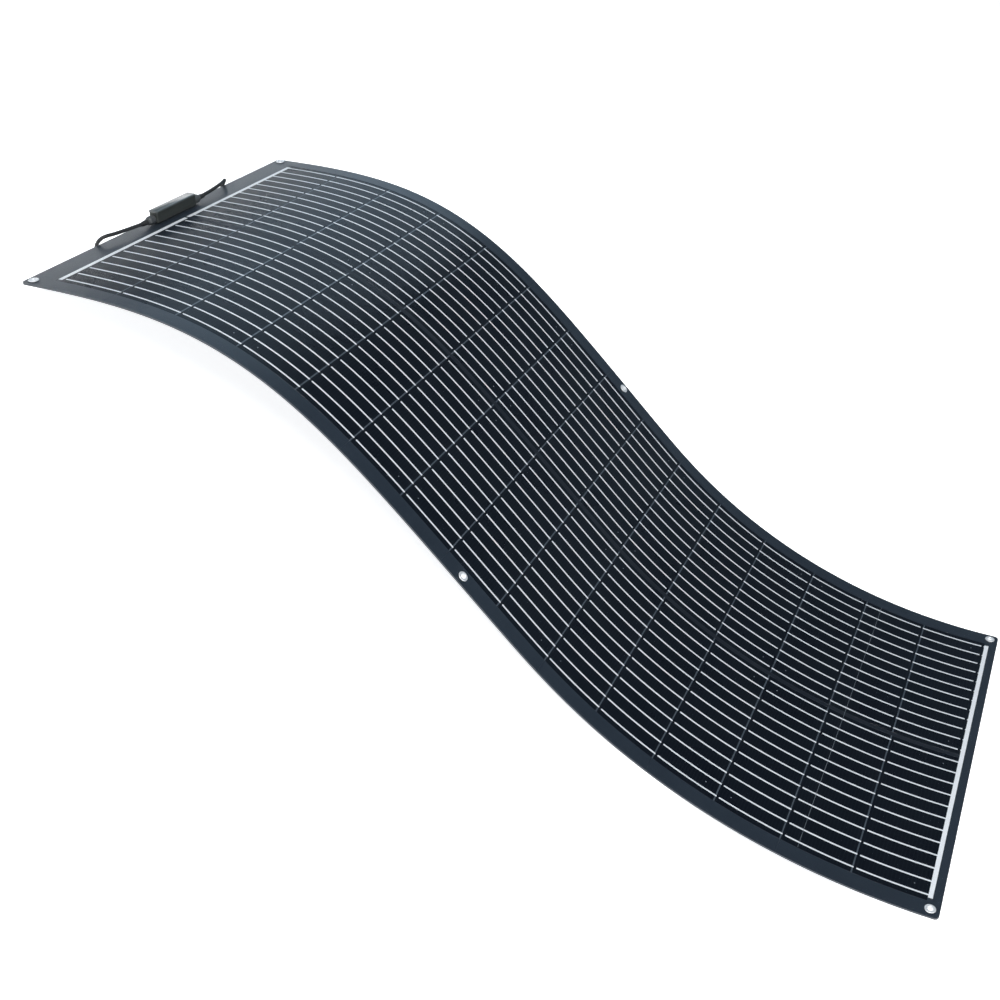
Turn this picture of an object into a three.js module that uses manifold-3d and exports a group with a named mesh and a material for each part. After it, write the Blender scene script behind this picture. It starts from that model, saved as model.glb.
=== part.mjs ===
// A flexible solar sheet: two columns of cut cell strips between a backsheet and a clear front
// film, six eyelets, and a junction box with two leads. Millimetres, +X along the sheet from the box
// end to the tail end, +Y across it, +Z up. The sheet lies in a gentle wave: a crest, then a trough.
import * as THREE from 'three';
import { mergeVertices } from 'three/addons/utils/BufferGeometryUtils.js';
import Module from 'manifold-3d';

// Driving dimensions
const ROW_PITCH = 71; // one cell row and the gap after it
const ROWS = 15;
const CELL_GAP = 1; // between two rows
const BOX_MARGIN = 32; // from the box-end edge to the first row
const TAIL_MARGIN = 13;
const SHEET_LENGTH = BOX_MARGIN + ROWS * ROW_PITCH + TAIL_MARGIN;
const SHEET_WIDTH = 464;
const CORNER_RADIUS = 5;
const CELL_WIDTH = 210; // across the sheet
const COLUMN_GAP = 6;
const RIBBONS = 12; // on each column
const BRIDGE_EVERY = 3; // one ribbon in three is a solid bridge between two cells
const RIBBON_PITCH = 17.8;
const RIBBON_WIDTH = 1.8;
const BAR_WIDTH = 4.4;

// Layers, as heights from the top face of the front film
const FILM = [-0.4, 0];
const CELLS = [-1.1, -0.7];
const BACKSHEET = [-2.8, -0.7];
const POCKET_FLOOR = -1.4; // the recess in the backsheet that the cells lie in
const CLEARANCE = 0.3; // between pieces that touch

// The wave: how much the sheet turns in each row pitch, in degrees, against distance in rows
const CREST_BEND = 11.3;
const CREST_AT = 3;
const CREST_SPREAD = 2.3;
const TROUGH_BEND = 7;
const TROUGH_FROM = 8.65;
const TROUGH_EASE = 0.25;
const FIRST_SLOPE = 28.46; // at the box-end edge, in degrees
const STATION = ROW_PITCH / 4; // the sheet is made of flat strips this long

// The sheet flexes on lines in every second gap between rows
const FLEX_GAPS = [1, 3, 5, 7, 9, 11, 13];
const FLEX_GAP_WIDTH = 1.2;

// Junction box, on the film beside the box-end edge
const BOX_LENGTH = 71.4; // across the sheet
const BOX_WIDTH = 11.4;
const BOX_HEIGHT = 14.4;
const BOX_AT = 11.6; // its centre line, from the box-end edge
const BOX_ACROSS = 0.9; // its middle, from the middle of the sheet
const BOX_WALL = 1.6;
const LID_THICK = 1.8;
const PAD_THICK = 0.8;
const GLAND_HEIGHT = 5.35; // the gland axis above the film
const LEAD_DIAMETER = 4;

// Leads: distance from the box-end edge along X, distance out from the middle of the box, and Z
const LEAD_ROUTE = [
  [7.68, 47.6, 30.73],
  [7.65, 54, 31.0],
  [7.3, 62, 31.3],
  [6.7, 71, 31.4],
  [5.8, 80, 31.3],
  [4.6, 88.5, 30.9],
  [3.1, 96.5, 30.2],
  [1.5, 102.6, 29.6],
  [0.2, 106.9, 28.7],
  [-1.3, 110.2, 26.6],
  [-2.4, 112.3, 23.3],
  [-3.1, 113.1, 19.3],
  [-3.1, 113.1, 14.8],
  [-1.9, 113.1, 9.9],
  [0.9, 113.1, 6.0],
  [5.0, 113.1, 3.4],
  [10.5, 113.1, 2.3],
  [18, 113.1, 2.1],
  [28, 113.1, 2.1],
  [42, 113.1, 2.1],
  [57, 113.1, 2.1],
];
const FAR_LEAD_STRETCH = 1.045; // the far lead goes a little further out before it drops
const COIL_AT = 72; // from the box-end edge along X
const COIL_MEAN_RADIUS = 24;
const COIL_LAYERS = 2;
const CONNECTOR_RADIUS = 8;
const CONNECTOR_LENGTH = 52;
const CONNECTOR_AFTER_COIL = 24; // from the coil's centre, across the sheet

const wasm = await Module();
wasm.setup();

const radians = THREE.MathUtils.degToRad;

// ---------------------------------------------------------------- the wave's profile

function turnPerMillimetre(along) {
  const row = (along - BOX_MARGIN) / ROW_PITCH;
  const crest = CREST_BEND * Math.exp(-(((row - CREST_AT) / CREST_SPREAD) ** 2));
  const trough = TROUGH_BEND / (1 + Math.exp(-(row - TROUGH_FROM) / TROUGH_EASE));
  return radians(trough - crest) / ROW_PITCH;
}

// One entry for each millimetre: place and slope of the film's top face
function makeProfile() {
  const points = [{ x: 0, z: 0, slope: radians(FIRST_SLOPE) }];
  for (let along = 0; along < SHEET_LENGTH; along += 1) {
    const last = points[points.length - 1];
    const slope = last.slope + turnPerMillimetre(along + 0.5);
    const middle = (last.slope + slope) / 2;
    points.push({ x: last.x + Math.cos(middle), z: last.z + Math.sin(middle), slope });
  }
  return points;
}

const profile = makeProfile();

function onCurve(along) {
  const index = Math.min(Math.max(Math.floor(along), 0), profile.length - 2);
  const share = along - index;
  const a = profile[index];
  const b = profile[index + 1];
  return {
    x: a.x + (b.x - a.x) * share,
    z: a.z + (b.z - a.z) * share,
    slope: a.slope + (b.slope - a.slope) * share,
  };
}

// The stations between two distances, with both ends
function stationsBetween(from, to) {
  const list = [from];
  for (let n = -4; n <= ROWS * 4 + 4; n += 1) {
    const along = BOX_MARGIN + n * STATION;
    if (along > from + 0.05 && along < to - 0.05) list.push(along);
  }
  list.push(to);
  return list;
}

// The flat strip that a distance falls on: its two stations
function stripAt(along) {
  const n = Math.floor((along - BOX_MARGIN) / STATION);
  const from = Math.max(BOX_MARGIN + n * STATION, 0);
  const to = Math.min(BOX_MARGIN + (n + 1) * STATION, SHEET_LENGTH);
  return [from, to];
}

// A place on the faceted sheet, with the facet's normal
function onSheet(along) {
  const [from, to] = stripAt(along);
  const a = onCurve(from);
  const b = onCurve(to);
  const share = (along - from) / (to - from);
  const slope = Math.atan2(b.z - a.z, b.x - a.x);
  return { x: a.x + (b.x - a.x) * share, z: a.z + (b.z - a.z) * share, slope };
}

// A point at a height over the sheet; at a station the layers meet on the curve's own normal
function layerPoint(along, across, height) {
  const onStation = Math.abs(((along - BOX_MARGIN) / STATION) % 1) < 1e-6;
  const place = onStation ? onCurve(along) : onSheet(along);
  const x = place.x - height * Math.sin(place.slope);
  const z = place.z + height * Math.cos(place.slope);
  return new THREE.Vector3(x, across, z);
}

// ---------------------------------------------------------------- solids

// Sweeps a section of [across, height] points along the sheet, closed at both ends
function sweep(section, from, to) {
  const stations = stationsBetween(from, to);
  const count = section.length;
  const positions = [];
  for (const along of stations) {
    for (const [across, height] of section) {
      const point = layerPoint(along, across, height);
      positions.push(point.x, point.y, point.z);
    }
  }
  const index = [];
  for (let s = 0; s < stations.length - 1; s += 1) {
    for (let i = 0; i < count; i += 1) {
      const j = (i + 1) % count;
      const a = s * count + i;
      const b = s * count + j;
      index.push(a, b, b + count, a, b + count, a + count);
    }
  }
  const outline = section.map(([across, height]) => new THREE.Vector2(across, height));
  const last = (stations.length - 1) * count;
  for (const [a, b, c] of THREE.ShapeUtils.triangulateShape(outline, [])) {
    index.push(a, c, b);
    index.push(last + a, last + b, last + c);
  }
  const geometry = new THREE.BufferGeometry();
  geometry.setAttribute('position', new THREE.Float32BufferAttribute(positions, 3));
  geometry.setIndex(index);
  return outwards(geometry);
}

// Turns a closed geometry's faces outwards
function outwards(geometry) {
  const p = geometry.getAttribute('position');
  const index = geometry.getIndex();
  const a = new THREE.Vector3();
  const b = new THREE.Vector3();
  const c = new THREE.Vector3();
  let volume = 0;
  for (let i = 0; i < index.count; i += 3) {
    a.fromBufferAttribute(p, index.getX(i));
    b.fromBufferAttribute(p, index.getX(i + 1));
    c.fromBufferAttribute(p, index.getX(i + 2));
    volume += a.dot(b.cross(c));
  }
  if (volume < 0) {
    for (let i = 0; i < index.count; i += 3) {
      const second = index.getX(i + 1);
      index.setX(i + 1, index.getX(i + 2));
      index.setX(i + 2, second);
    }
  }
  return geometry;
}

function slab(halfWidth, [low, high]) {
  return slabBetween(-halfWidth, halfWidth, [low, high]);
}

function slabBetween(left, right, [low, high]) {
  return [[left, low], [right, low], [right, high], [left, high]];
}

function toManifold(geometry) {
  const bare = geometry.clone();
  bare.deleteAttribute('normal');
  bare.deleteAttribute('uv');
  const merged = mergeVertices(bare, 1e-4);
  const mesh = new wasm.Mesh({
    numProp: 3,
    vertProperties: new Float32Array(merged.getAttribute('position').array),
    triVerts: new Uint32Array(merged.getIndex().array),
  });
  return new wasm.Manifold(mesh);
}

function toGeometry(manifold) {
  const mesh = manifold.getMesh();
  const geometry = new THREE.BufferGeometry();
  geometry.setAttribute('position', new THREE.BufferAttribute(mesh.vertProperties, 3));
  geometry.setIndex(new THREE.BufferAttribute(mesh.triVerts, 1));
  return geometry;
}

function cut(geometry, cutters) {
  let solid = toManifold(geometry);
  for (const cutter of cutters) solid = solid.subtract(toManifold(cutter));
  return toGeometry(solid);
}

function join(first, others) {
  let solid = toManifold(first);
  for (const other of others) solid = solid.add(toManifold(other));
  return toGeometry(solid);
}

// Puts a geometry made about the origin, +Z out of the film, at a place on the sheet
function settle(geometry, along, across) {
  const place = onSheet(along);
  geometry.rotateY(-place.slope);
  geometry.translate(place.x, across, place.z);
  return geometry;
}

function turned(points, segments) {
  const outline = points.map(([radius, height]) => new THREE.Vector2(radius, height));
  const geometry = new THREE.LatheGeometry(outline, segments);
  geometry.rotateX(Math.PI / 2);
  geometry.deleteAttribute('normal');
  geometry.deleteAttribute('uv');
  return outwards(mergeVertices(geometry, 1e-4));
}

function cylinder(radius, low, high, segments = 16) {
  return turned([[0, low], [radius, low], [radius, high], [0, high]], segments);
}

function roundedRectangle(width, depth, radius) {
  const shape = new THREE.Shape();
  const x = width / 2 - radius;
  const y = depth / 2 - radius;
  shape.absarc(x, y, radius, 0, Math.PI / 2);
  shape.absarc(-x, y, radius, Math.PI / 2, Math.PI);
  shape.absarc(-x, -y, radius, Math.PI, Math.PI * 1.5);
  shape.absarc(x, -y, radius, Math.PI * 1.5, Math.PI * 2);
  return shape;
}

function block(width, depth, radius, low, high) {
  const shape = roundedRectangle(width, depth, radius);
  const options = { depth: high - low, bevelEnabled: false, curveSegments: 4 };
  const geometry = new THREE.ExtrudeGeometry(shape, options);
  geometry.translate(0, 0, low);
  return geometry;
}

// ---------------------------------------------------------------- materials and nodes

const sheet = new THREE.Group();
sheet.name = 'flexible_solar_sheet';

const MATERIALS = {
  backsheet: { color: '#3b444c', roughness: 0.55, metalness: 0 },
  film: { color: '#8b979f', roughness: 0.3, metalness: 0 },
  cell: { color: '#101a26', roughness: 0.3, metalness: 0.1 },
  ribbon: { color: '#d8e0e8', roughness: 0.35, metalness: 0.9 },
  eyelet: { color: '#c9ccd0', roughness: 0.25, metalness: 1 },
  housing: { color: '#2e3432', roughness: 0.6, metalness: 0 },
  seal: { color: '#1b1b1c', roughness: 0.9, metalness: 0 },
  contact: { color: '#b98b4e', roughness: 0.35, metalness: 0.9 },
  lead: { color: '#242628', roughness: 0.6, metalness: 0 },
};

function addPiece(name, geometry, material) {
  const mesh = new THREE.Mesh(geometry, new THREE.MeshStandardMaterial(MATERIALS[material]));
  mesh.name = name;
  sheet.add(mesh);
  return mesh;
}

// ---------------------------------------------------------------- the laminated sheet

const halfWidth = SHEET_WIDTH / 2;
const flexLines = FLEX_GAPS.map((gap) => BOX_MARGIN + gap * ROW_PITCH);
const EYELET_INSET = 9;
const eyelets = [
  { name: 'box_end_near', along: EYELET_INSET, side: -1 },
  { name: 'box_end_far', along: EYELET_INSET, side: 1 },
  { name: 'middle_near', along: BOX_MARGIN + 7.375 * ROW_PITCH, side: -1 },
  { name: 'middle_far', along: BOX_MARGIN + 7.375 * ROW_PITCH, side: 1 },
  { name: 'tail_end_near', along: SHEET_LENGTH - EYELET_INSET, side: -1 },
  { name: 'tail_end_far', along: SHEET_LENGTH - EYELET_INSET, side: 1 },
];
for (const eyelet of eyelets) eyelet.across = eyelet.side * (halfWidth - EYELET_INSET);

const EYELET_BORE = 2.5;
const EYELET_BARREL = 3;
const EYELET_FLANGE = 5.25;
const HOLE_RADIUS = EYELET_BARREL + CLEARANCE;
const columnCentre = (CELL_WIDTH + COLUMN_GAP) / 2;
const pocketHalfWidth = CELL_WIDTH + COLUMN_GAP / 2 + 0.4;

// Each section runs between two flex lines, or from a flex line to an end
const sections = [];
for (let i = 0; i <= flexLines.length; i += 1) {
  const from = i === 0 ? 0 : flexLines[i - 1] + FLEX_GAP_WIDTH / 2;
  const to = i === flexLines.length ? SHEET_LENGTH : flexLines[i] - FLEX_GAP_WIDTH / 2;
  sections.push({ number: i + 1, from, to });
}

function holeCutters(from, to) {
  const cutters = [];
  for (const eyelet of eyelets) {
    if (eyelet.along > from && eyelet.along < to) {
      cutters.push(settle(cylinder(HOLE_RADIUS, -6, 3), eyelet.along, eyelet.across));
    }
  }
  return cutters;
}

// Takes the square corner off, at an end of the sheet
function cornerCutter(along, inward, side) {
  const shape = new THREE.Shape();
  const r = CORNER_RADIUS;
  shape.moveTo(-1, -1);
  shape.lineTo(r, -1);
  shape.lineTo(r, 0);
  shape.absarc(r, r, r, Math.PI * 1.5, Math.PI, true);
  shape.lineTo(-1, r);
  shape.closePath();
  const geometry = new THREE.ExtrudeGeometry(shape, { depth: 9, bevelEnabled: false, curveSegments: 6 });
  geometry.translate(0, 0, -6);
  geometry.scale(inward, -side, 1);
  const place = onSheet(along);
  geometry.deleteAttribute('normal');
  geometry.deleteAttribute('uv');
  const solid = outwards(mergeVertices(geometry, 1e-4));
  solid.rotateY(-place.slope);
  solid.translate(place.x, side * halfWidth, place.z);
  return solid;
}

function cornerCutters(from, to) {
  const cutters = [];
  for (const side of [-1, 1]) {
    if (from === 0) cutters.push(cornerCutter(0.001, 1, side));
    if (to === SHEET_LENGTH) cutters.push(cornerCutter(SHEET_LENGTH - 0.001, -1, side));
  }
  return cutters;
}

const barAt = [BOX_MARGIN - 1.4, BOX_MARGIN + ROWS * ROW_PITCH + 2.1];

for (const { number, from, to } of sections) {
  const edgeCuts = [...holeCutters(from, to), ...cornerCutters(from, to)];
  const pocketFrom = from === 0 ? barAt[0] - BAR_WIDTH / 2 - CLEARANCE : from - 1;
  const pocketTo = to === SHEET_LENGTH ? barAt[1] + BAR_WIDTH / 2 + CLEARANCE : to + 1;
  const pocket = sweep(slab(pocketHalfWidth, [POCKET_FLOOR, 1]), pocketFrom, pocketTo);
  const plate = sweep(slab(halfWidth, BACKSHEET), from, to);
  addPiece(`backsheet_${number}`, cut(plate, [pocket, ...edgeCuts]), 'backsheet');
  const film = sweep(slab(halfWidth, FILM), from, to);
  addPiece(`front_film_${number}`, cut(film, edgeCuts), 'film');
}

// One column's cells in a section, with the ribbons that bridge from cell to cell
function cellString(section, side) {
  const middle = side * columnCentre;
  const outline = slabBetween(middle - CELL_WIDTH / 2, middle + CELL_WIDTH / 2, CELLS);
  const cells = [];
  const bridges = [];
  for (let row = 0; row < ROWS; row += 1) {
    const start = BOX_MARGIN + row * ROW_PITCH;
    if (start > section.from - 2 && start + ROW_PITCH < section.to + 15) {
      const first = row === 0 ? CELL_GAP + 0.1 : CELL_GAP / 2;
      const inset = Math.max(first, start === section.from - FLEX_GAP_WIDTH / 2 ? 0.9 : 0);
      cells.push(sweep(outline, start + inset, start + ROW_PITCH - 0.9));
      const joint = start + ROW_PITCH;
      if (joint < section.to - 20) {
        for (let n = 1; n < RIBBONS; n += BRIDGE_EVERY) {
          const across = middle + (n - (RIBBONS - 1) / 2) * RIBBON_PITCH;
          const strip = slabBetween(across - RIBBON_WIDTH / 2, across + RIBBON_WIDTH / 2, CELLS);
          bridges.push(sweep(strip, joint - 2, joint + 1.5));
        }
      }
    }
  }
  return join(cells[0], [...cells.slice(1), ...bridges]);
}

for (const section of sections) {
  addPiece(`near_cells_${section.number}`, cellString(section, -1), 'cell');
  addPiece(`far_cells_${section.number}`, cellString(section, 1), 'cell');
}

// Bars that collect the ribbons: one for each column at the box end, one for both at the tail
function endBar(along, left, right) {
  return sweep(slabBetween(left, right, CELLS), along - BAR_WIDTH / 2, along + BAR_WIDTH / 2);
}

const barReach = columnCentre + CELL_WIDTH / 2 - 4;
addPiece('box_end_bar_near', endBar(barAt[0], -barReach, -2.2), 'ribbon');
addPiece('box_end_bar_far', endBar(barAt[0], 2.2, barReach), 'ribbon');
addPiece('tail_end_bar', endBar(barAt[1], -barReach, barReach), 'ribbon');

// ---------------------------------------------------------------- eyelets

const under = BACKSHEET[0] - CLEARANCE;
const WASHER_THICK = 0.6;

function eyeletSolid() {
  const low = under - WASHER_THICK - CLEARANCE;
  const outline = [
    [EYELET_BORE, low - 0.5],
    [EYELET_BORE + 0.4, low - 0.8],
    [EYELET_FLANGE - 1.6, low - 0.7],
    [EYELET_FLANGE - 1, low - 0.3],
    [EYELET_FLANGE - 1, low],
    [EYELET_BARREL, low],
    [EYELET_BARREL, CLEARANCE],
    [EYELET_FLANGE, CLEARANCE],
    [EYELET_FLANGE - 0.15, CLEARANCE + 0.4],
    [EYELET_FLANGE - 0.9, CLEARANCE + 0.8],
    [EYELET_BORE + 1, CLEARANCE + 0.8],
    [EYELET_BORE + 0.2, CLEARANCE + 0.3],
    [EYELET_BORE, CLEARANCE - 0.3],
    [EYELET_BORE, low - 0.5],
  ];
  return turned(outline, 16);
}

function washerSolid() {
  const inner = EYELET_BARREL + CLEARANCE;
  const low = under - WASHER_THICK;
  const outline = [[inner, low], [EYELET_FLANGE, low], [EYELET_FLANGE, under], [inner, under], [inner, low]];
  return turned(outline, 16);
}

for (const { name, along, across } of eyelets) {
  addPiece(`eyelet_${name}`, settle(eyeletSolid(), along, across), 'eyelet');
  addPiece(`washer_${name}`, settle(washerSolid(), along, across), 'eyelet');
}

// ---------------------------------------------------------------- junction box

const padLow = CLEARANCE;
const baseLow = padLow + PAD_THICK + CLEARANCE;
const lidLow = BOX_HEIGHT - LID_THICK;
const sealThick = 0.8;
const baseHigh = lidLow - CLEARANCE;
const STUB_RADIUS = 3.5;
const STUB_LENGTH = 7;
const BORE_RADIUS = LEAD_DIAMETER / 2 + 0.35;
const NUT_RADIUS = 4.9;
const NUT_LENGTH = 11;

function alongY(geometry, across, height) {
  geometry.rotateX(-Math.PI / 2);
  geometry.translate(0, across, height);
  return geometry;
}

function boxBase() {
  const shell = block(BOX_WIDTH, BOX_LENGTH, 2, baseLow, baseHigh);
  const stubs = [];
  const cutters = [];
  for (const side of [-1, 1]) {
    const outer = side * (BOX_LENGTH / 2 + STUB_LENGTH);
    const inner = side * (BOX_LENGTH / 2 - 1);
    const [low, high] = side < 0 ? [outer, inner] : [inner, outer];
    stubs.push(alongY(cylinder(STUB_RADIUS, low, high), 0, GLAND_HEIGHT));
    cutters.push(alongY(cylinder(BORE_RADIUS, Math.min(low, high) - 3, high + 3, 16), 0, GLAND_HEIGHT));
  }
  const inside = block(BOX_WIDTH - 2 * BOX_WALL, BOX_LENGTH - 2 * BOX_WALL, 1, baseLow + BOX_WALL, 20);
  const seat = block(BOX_WIDTH - BOX_WALL + 0.2, BOX_LENGTH - BOX_WALL + 0.2, 1.4, baseHigh - sealThick, 20);
  return cut(join(shell, stubs), [inside, seat, ...cutters]);
}

// The gasket lies in a step around the top of the base
function boxSeal() {
  const low = baseHigh - sealThick + CLEARANCE;
  const ring = block(BOX_WIDTH - BOX_WALL - 0.4, BOX_LENGTH - BOX_WALL - 0.4, 1.2, low, baseHigh);
  const hole = block(BOX_WIDTH - 2 * BOX_WALL + 0.1, BOX_LENGTH - 2 * BOX_WALL + 0.1, 1, low - 1, 20);
  return cut(ring, [hole]);
}

function boxLid() {
  const plate = block(BOX_WIDTH + 0.8, BOX_LENGTH + 0.4, 2.2, lidLow, BOX_HEIGHT);
  const lipWidth = BOX_WIDTH - 2 * BOX_WALL - 0.6;
  const lipLength = BOX_LENGTH - 2 * BOX_WALL - 0.6;
  const lip = block(lipWidth, lipLength, 0.8, lidLow - 1.6, lidLow + 0.5);
  const lipHole = block(lipWidth - 2, lipLength - 2, 0.5, lidLow - 3, lidLow);
  return cut(join(plate, [lip]), [lipHole]);
}

// The terminal block with its bypass diode, on the floor of the box
function terminalBlock() {
  const low = baseLow + BOX_WALL + CLEARANCE;
  const body = block(7, 34, 0.8, low, low + 2.2);
  const diode = alongY(cylinder(1.5, -6, 6, 12), 0, low + 2.2);
  const posts = [-13, 13].map((across) => {
    const post = block(5, 3, 0.4, low + 1, low + 3.6);
    post.translate(0, across, 0);
    return post;
  });
  return join(body, [diode, ...posts]);
}

// A domed gland nut with grip flutes, its axis along Z and its dome up
function glandNut() {
  const outline = [
    [STUB_RADIUS + CLEARANCE, 0],
    [NUT_RADIUS, 0],
    [NUT_RADIUS, 7],
    [NUT_RADIUS - 0.9, 8.6],
    [3.4, NUT_LENGTH - 0.4],
    [3.1, NUT_LENGTH],
    [BORE_RADIUS, NUT_LENGTH],
    [BORE_RADIUS, STUB_LENGTH + 0.4],
    [STUB_RADIUS + CLEARANCE, STUB_LENGTH + 0.4],
    [STUB_RADIUS + CLEARANCE, 0],
  ];
  const flutes = [];
  for (let n = 0; n < 8; n += 1) {
    const flute = cylinder(0.9, -1, 7.4, 6);
    const angle = (n / 8) * Math.PI * 2;
    flute.translate((NUT_RADIUS + 0.2) * Math.cos(angle), (NUT_RADIUS + 0.2) * Math.sin(angle), 0);
    flutes.push(flute);
  }
  return cut(turned(outline, 32), flutes);
}

const pad = block(BOX_WIDTH - 2, BOX_LENGTH - 2, 1.5, padLow, padLow + PAD_THICK);
addPiece('box_pad', settle(pad, BOX_AT, BOX_ACROSS), 'seal');
addPiece('box_base', settle(boxBase(), BOX_AT, BOX_ACROSS), 'housing');
addPiece('box_seal', settle(boxSeal(), BOX_AT, BOX_ACROSS), 'seal');
addPiece('box_lid', settle(boxLid(), BOX_AT, BOX_ACROSS), 'housing');
addPiece('terminal_block', settle(terminalBlock(), BOX_AT, BOX_ACROSS), 'contact');

for (const [name, side] of [['near', -1], ['far', 1]]) {
  const nut = glandNut();
  nut.rotateX(side < 0 ? Math.PI / 2 : -Math.PI / 2);
  nut.translate(0, side * (BOX_LENGTH / 2 + 2 * CLEARANCE), GLAND_HEIGHT);
  addPiece(`gland_nut_${name}`, settle(nut, BOX_AT, BOX_ACROSS), 'housing');
}

// ---------------------------------------------------------------- leads

// The floor is level with the lowest part of the backsheet, which is in the trough
const stationPoints = stationsBetween(0, SHEET_LENGTH).map((along) => layerPoint(along, 0, BACKSHEET[0]));
const floor = Math.min(...stationPoints.map((point) => point.z));

// The place across the sheet of a point on a lead that lies this far out from the box's middle
function acrossAt(side, out) {
  const exit = LEAD_ROUTE[0][1];
  const stretch = side > 0 ? FAR_LEAD_STRETCH : 1;
  return BOX_ACROSS + side * (exit + (out - exit) * stretch);
}

function leadSolid(side) {
  const points = LEAD_ROUTE.map(([x, out, z]) => new THREE.Vector3(x, acrossAt(side, out), z + floor));
  const path = new THREE.CatmullRomCurve3(points, false, 'centripetal');
  const section = new THREE.Shape();
  section.absarc(0, 0, LEAD_DIAMETER / 2, 0, Math.PI * 2);
  const geometry = new THREE.ExtrudeGeometry(section, { steps: 32, curveSegments: 5, extrudePath: path });
  geometry.deleteAttribute('normal');
  geometry.deleteAttribute('uv');
  return outwards(mergeVertices(geometry, 1e-4));
}

// The lead runs into the outer turn, so the coil's centre lies one outer turn's radius inwards
function coilAcross(side) {
  const lastOut = LEAD_ROUTE[LEAD_ROUTE.length - 1][1];
  return acrossAt(side, lastOut) - side * (COIL_MEAN_RADIUS + LEAD_DIAMETER / 2);
}

// The outer shape of a lead's coil: two turns beside each other, in two layers
function coilSolid(side) {
  const inner = COIL_MEAN_RADIUS - LEAD_DIAMETER;
  const outer = COIL_MEAN_RADIUS + LEAD_DIAMETER;
  const low = 0.05;
  const high = low + COIL_LAYERS * LEAD_DIAMETER;
  const outline = [
    [inner, low + 1.5],
    [inner + 1.5, low],
    [outer - 1.5, low],
    [outer, low + 1.5],
    [outer, high - 1.5],
    [outer - 1.5, high],
    [inner + 1.5, high],
    [inner, high - 1.5],
    [inner, low + 1.5],
  ];
  const ring = turned(outline, 32);
  ring.translate(COIL_AT, coilAcross(side), floor);
  return ring;
}

// A plug connector of a solar lead: nut, body, collar and nose, along +Z from its nut
function connectorSolid() {
  const r = CONNECTOR_RADIUS;
  const outline = [
    [0, 0],
    [4.2, 0],
    [r - 1.6, 3],
    [r - 1.2, 14],
    [r - 1.2, 15],
    [r, 15.6],
    [r, 30],
    [r - 1, 31],
    [r - 1, 36],
    [r - 2.6, 37],
    [r - 2.6, CONNECTOR_LENGTH - 1],
    [r - 3.4, CONNECTOR_LENGTH],
    [0, CONNECTOR_LENGTH],
  ];
  return turned(outline, 16);
}

for (const [name, side] of [['near', -1], ['far', 1]]) {
  addPiece(`lead_${name}`, leadSolid(side), 'lead');
  addPiece(`lead_coil_${name}`, coilSolid(side), 'lead');
  const connector = connectorSolid();
  connector.rotateX(side < 0 ? -Math.PI / 2 : Math.PI / 2);
  const x = COIL_AT + COIL_MEAN_RADIUS + LEAD_DIAMETER / 2;
  connector.translate(x, coilAcross(side) - side * CONNECTOR_AFTER_COIL, CONNECTOR_RADIUS + 0.05 + floor);
  addPiece(`connector_${name}`, connector, 'housing');
}

// ---------------------------------------------------------------- the frame

// The origin is under the middle of the sheet and its box, on the floor; the leads aren't counted
const bounds = new THREE.Box3();
for (const mesh of sheet.children) {
  if (!/^(lead|connector)/.test(mesh.name)) bounds.union(new THREE.Box3().setFromObject(mesh));
}
const middle = bounds.getCenter(new THREE.Vector3());
for (const mesh of sheet.children) {
  mesh.geometry.translate(-middle.x, -middle.y, -bounds.min.z);
  mesh.geometry.computeVertexNormals();
}

export default sheet;
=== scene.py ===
# %% [markdown]
# # A flexible solar sheet
#
# The sheet is a sandwich: a stiff blue-grey backsheet, thin silicon cells in a shallow recess, and a
# clear embossed film over everything. It lies in one long wave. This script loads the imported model,
# sets up the camera and the two leads, and then builds each layer again with a smooth curve, real
# edges and procedural finishes.

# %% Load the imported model
import math

import bmesh
import bpy
import numpy as np
from mathutils import Matrix, Vector


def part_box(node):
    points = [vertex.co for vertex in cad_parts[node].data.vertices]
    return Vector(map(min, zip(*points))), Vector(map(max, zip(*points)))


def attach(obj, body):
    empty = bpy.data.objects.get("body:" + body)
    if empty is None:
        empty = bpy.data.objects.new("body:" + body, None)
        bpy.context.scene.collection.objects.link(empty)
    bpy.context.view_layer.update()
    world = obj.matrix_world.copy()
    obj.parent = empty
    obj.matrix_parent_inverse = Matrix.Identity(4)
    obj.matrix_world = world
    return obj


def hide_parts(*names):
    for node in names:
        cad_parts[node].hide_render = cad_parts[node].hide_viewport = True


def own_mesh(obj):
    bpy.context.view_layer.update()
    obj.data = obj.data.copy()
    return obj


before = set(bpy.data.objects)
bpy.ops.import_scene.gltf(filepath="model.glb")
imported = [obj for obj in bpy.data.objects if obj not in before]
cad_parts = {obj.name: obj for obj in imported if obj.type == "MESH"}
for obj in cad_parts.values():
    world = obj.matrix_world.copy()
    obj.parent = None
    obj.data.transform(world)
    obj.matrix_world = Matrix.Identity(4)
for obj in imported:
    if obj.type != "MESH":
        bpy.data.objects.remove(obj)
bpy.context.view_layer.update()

# %% [markdown]
# ## Sizes
#
# All lengths are in metres. The sheet has fifteen rows of cells in two columns. A row is one cell,
# 70 mm long, and the 1 mm gap after it. Heights are counted from the film's top face, so the layers
# below it are negative. FILM, CELLS and BACK each give a layer's lower and upper face, and EYELETS
# gives the distance of each pair from the box end and the section that it is in.

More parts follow.
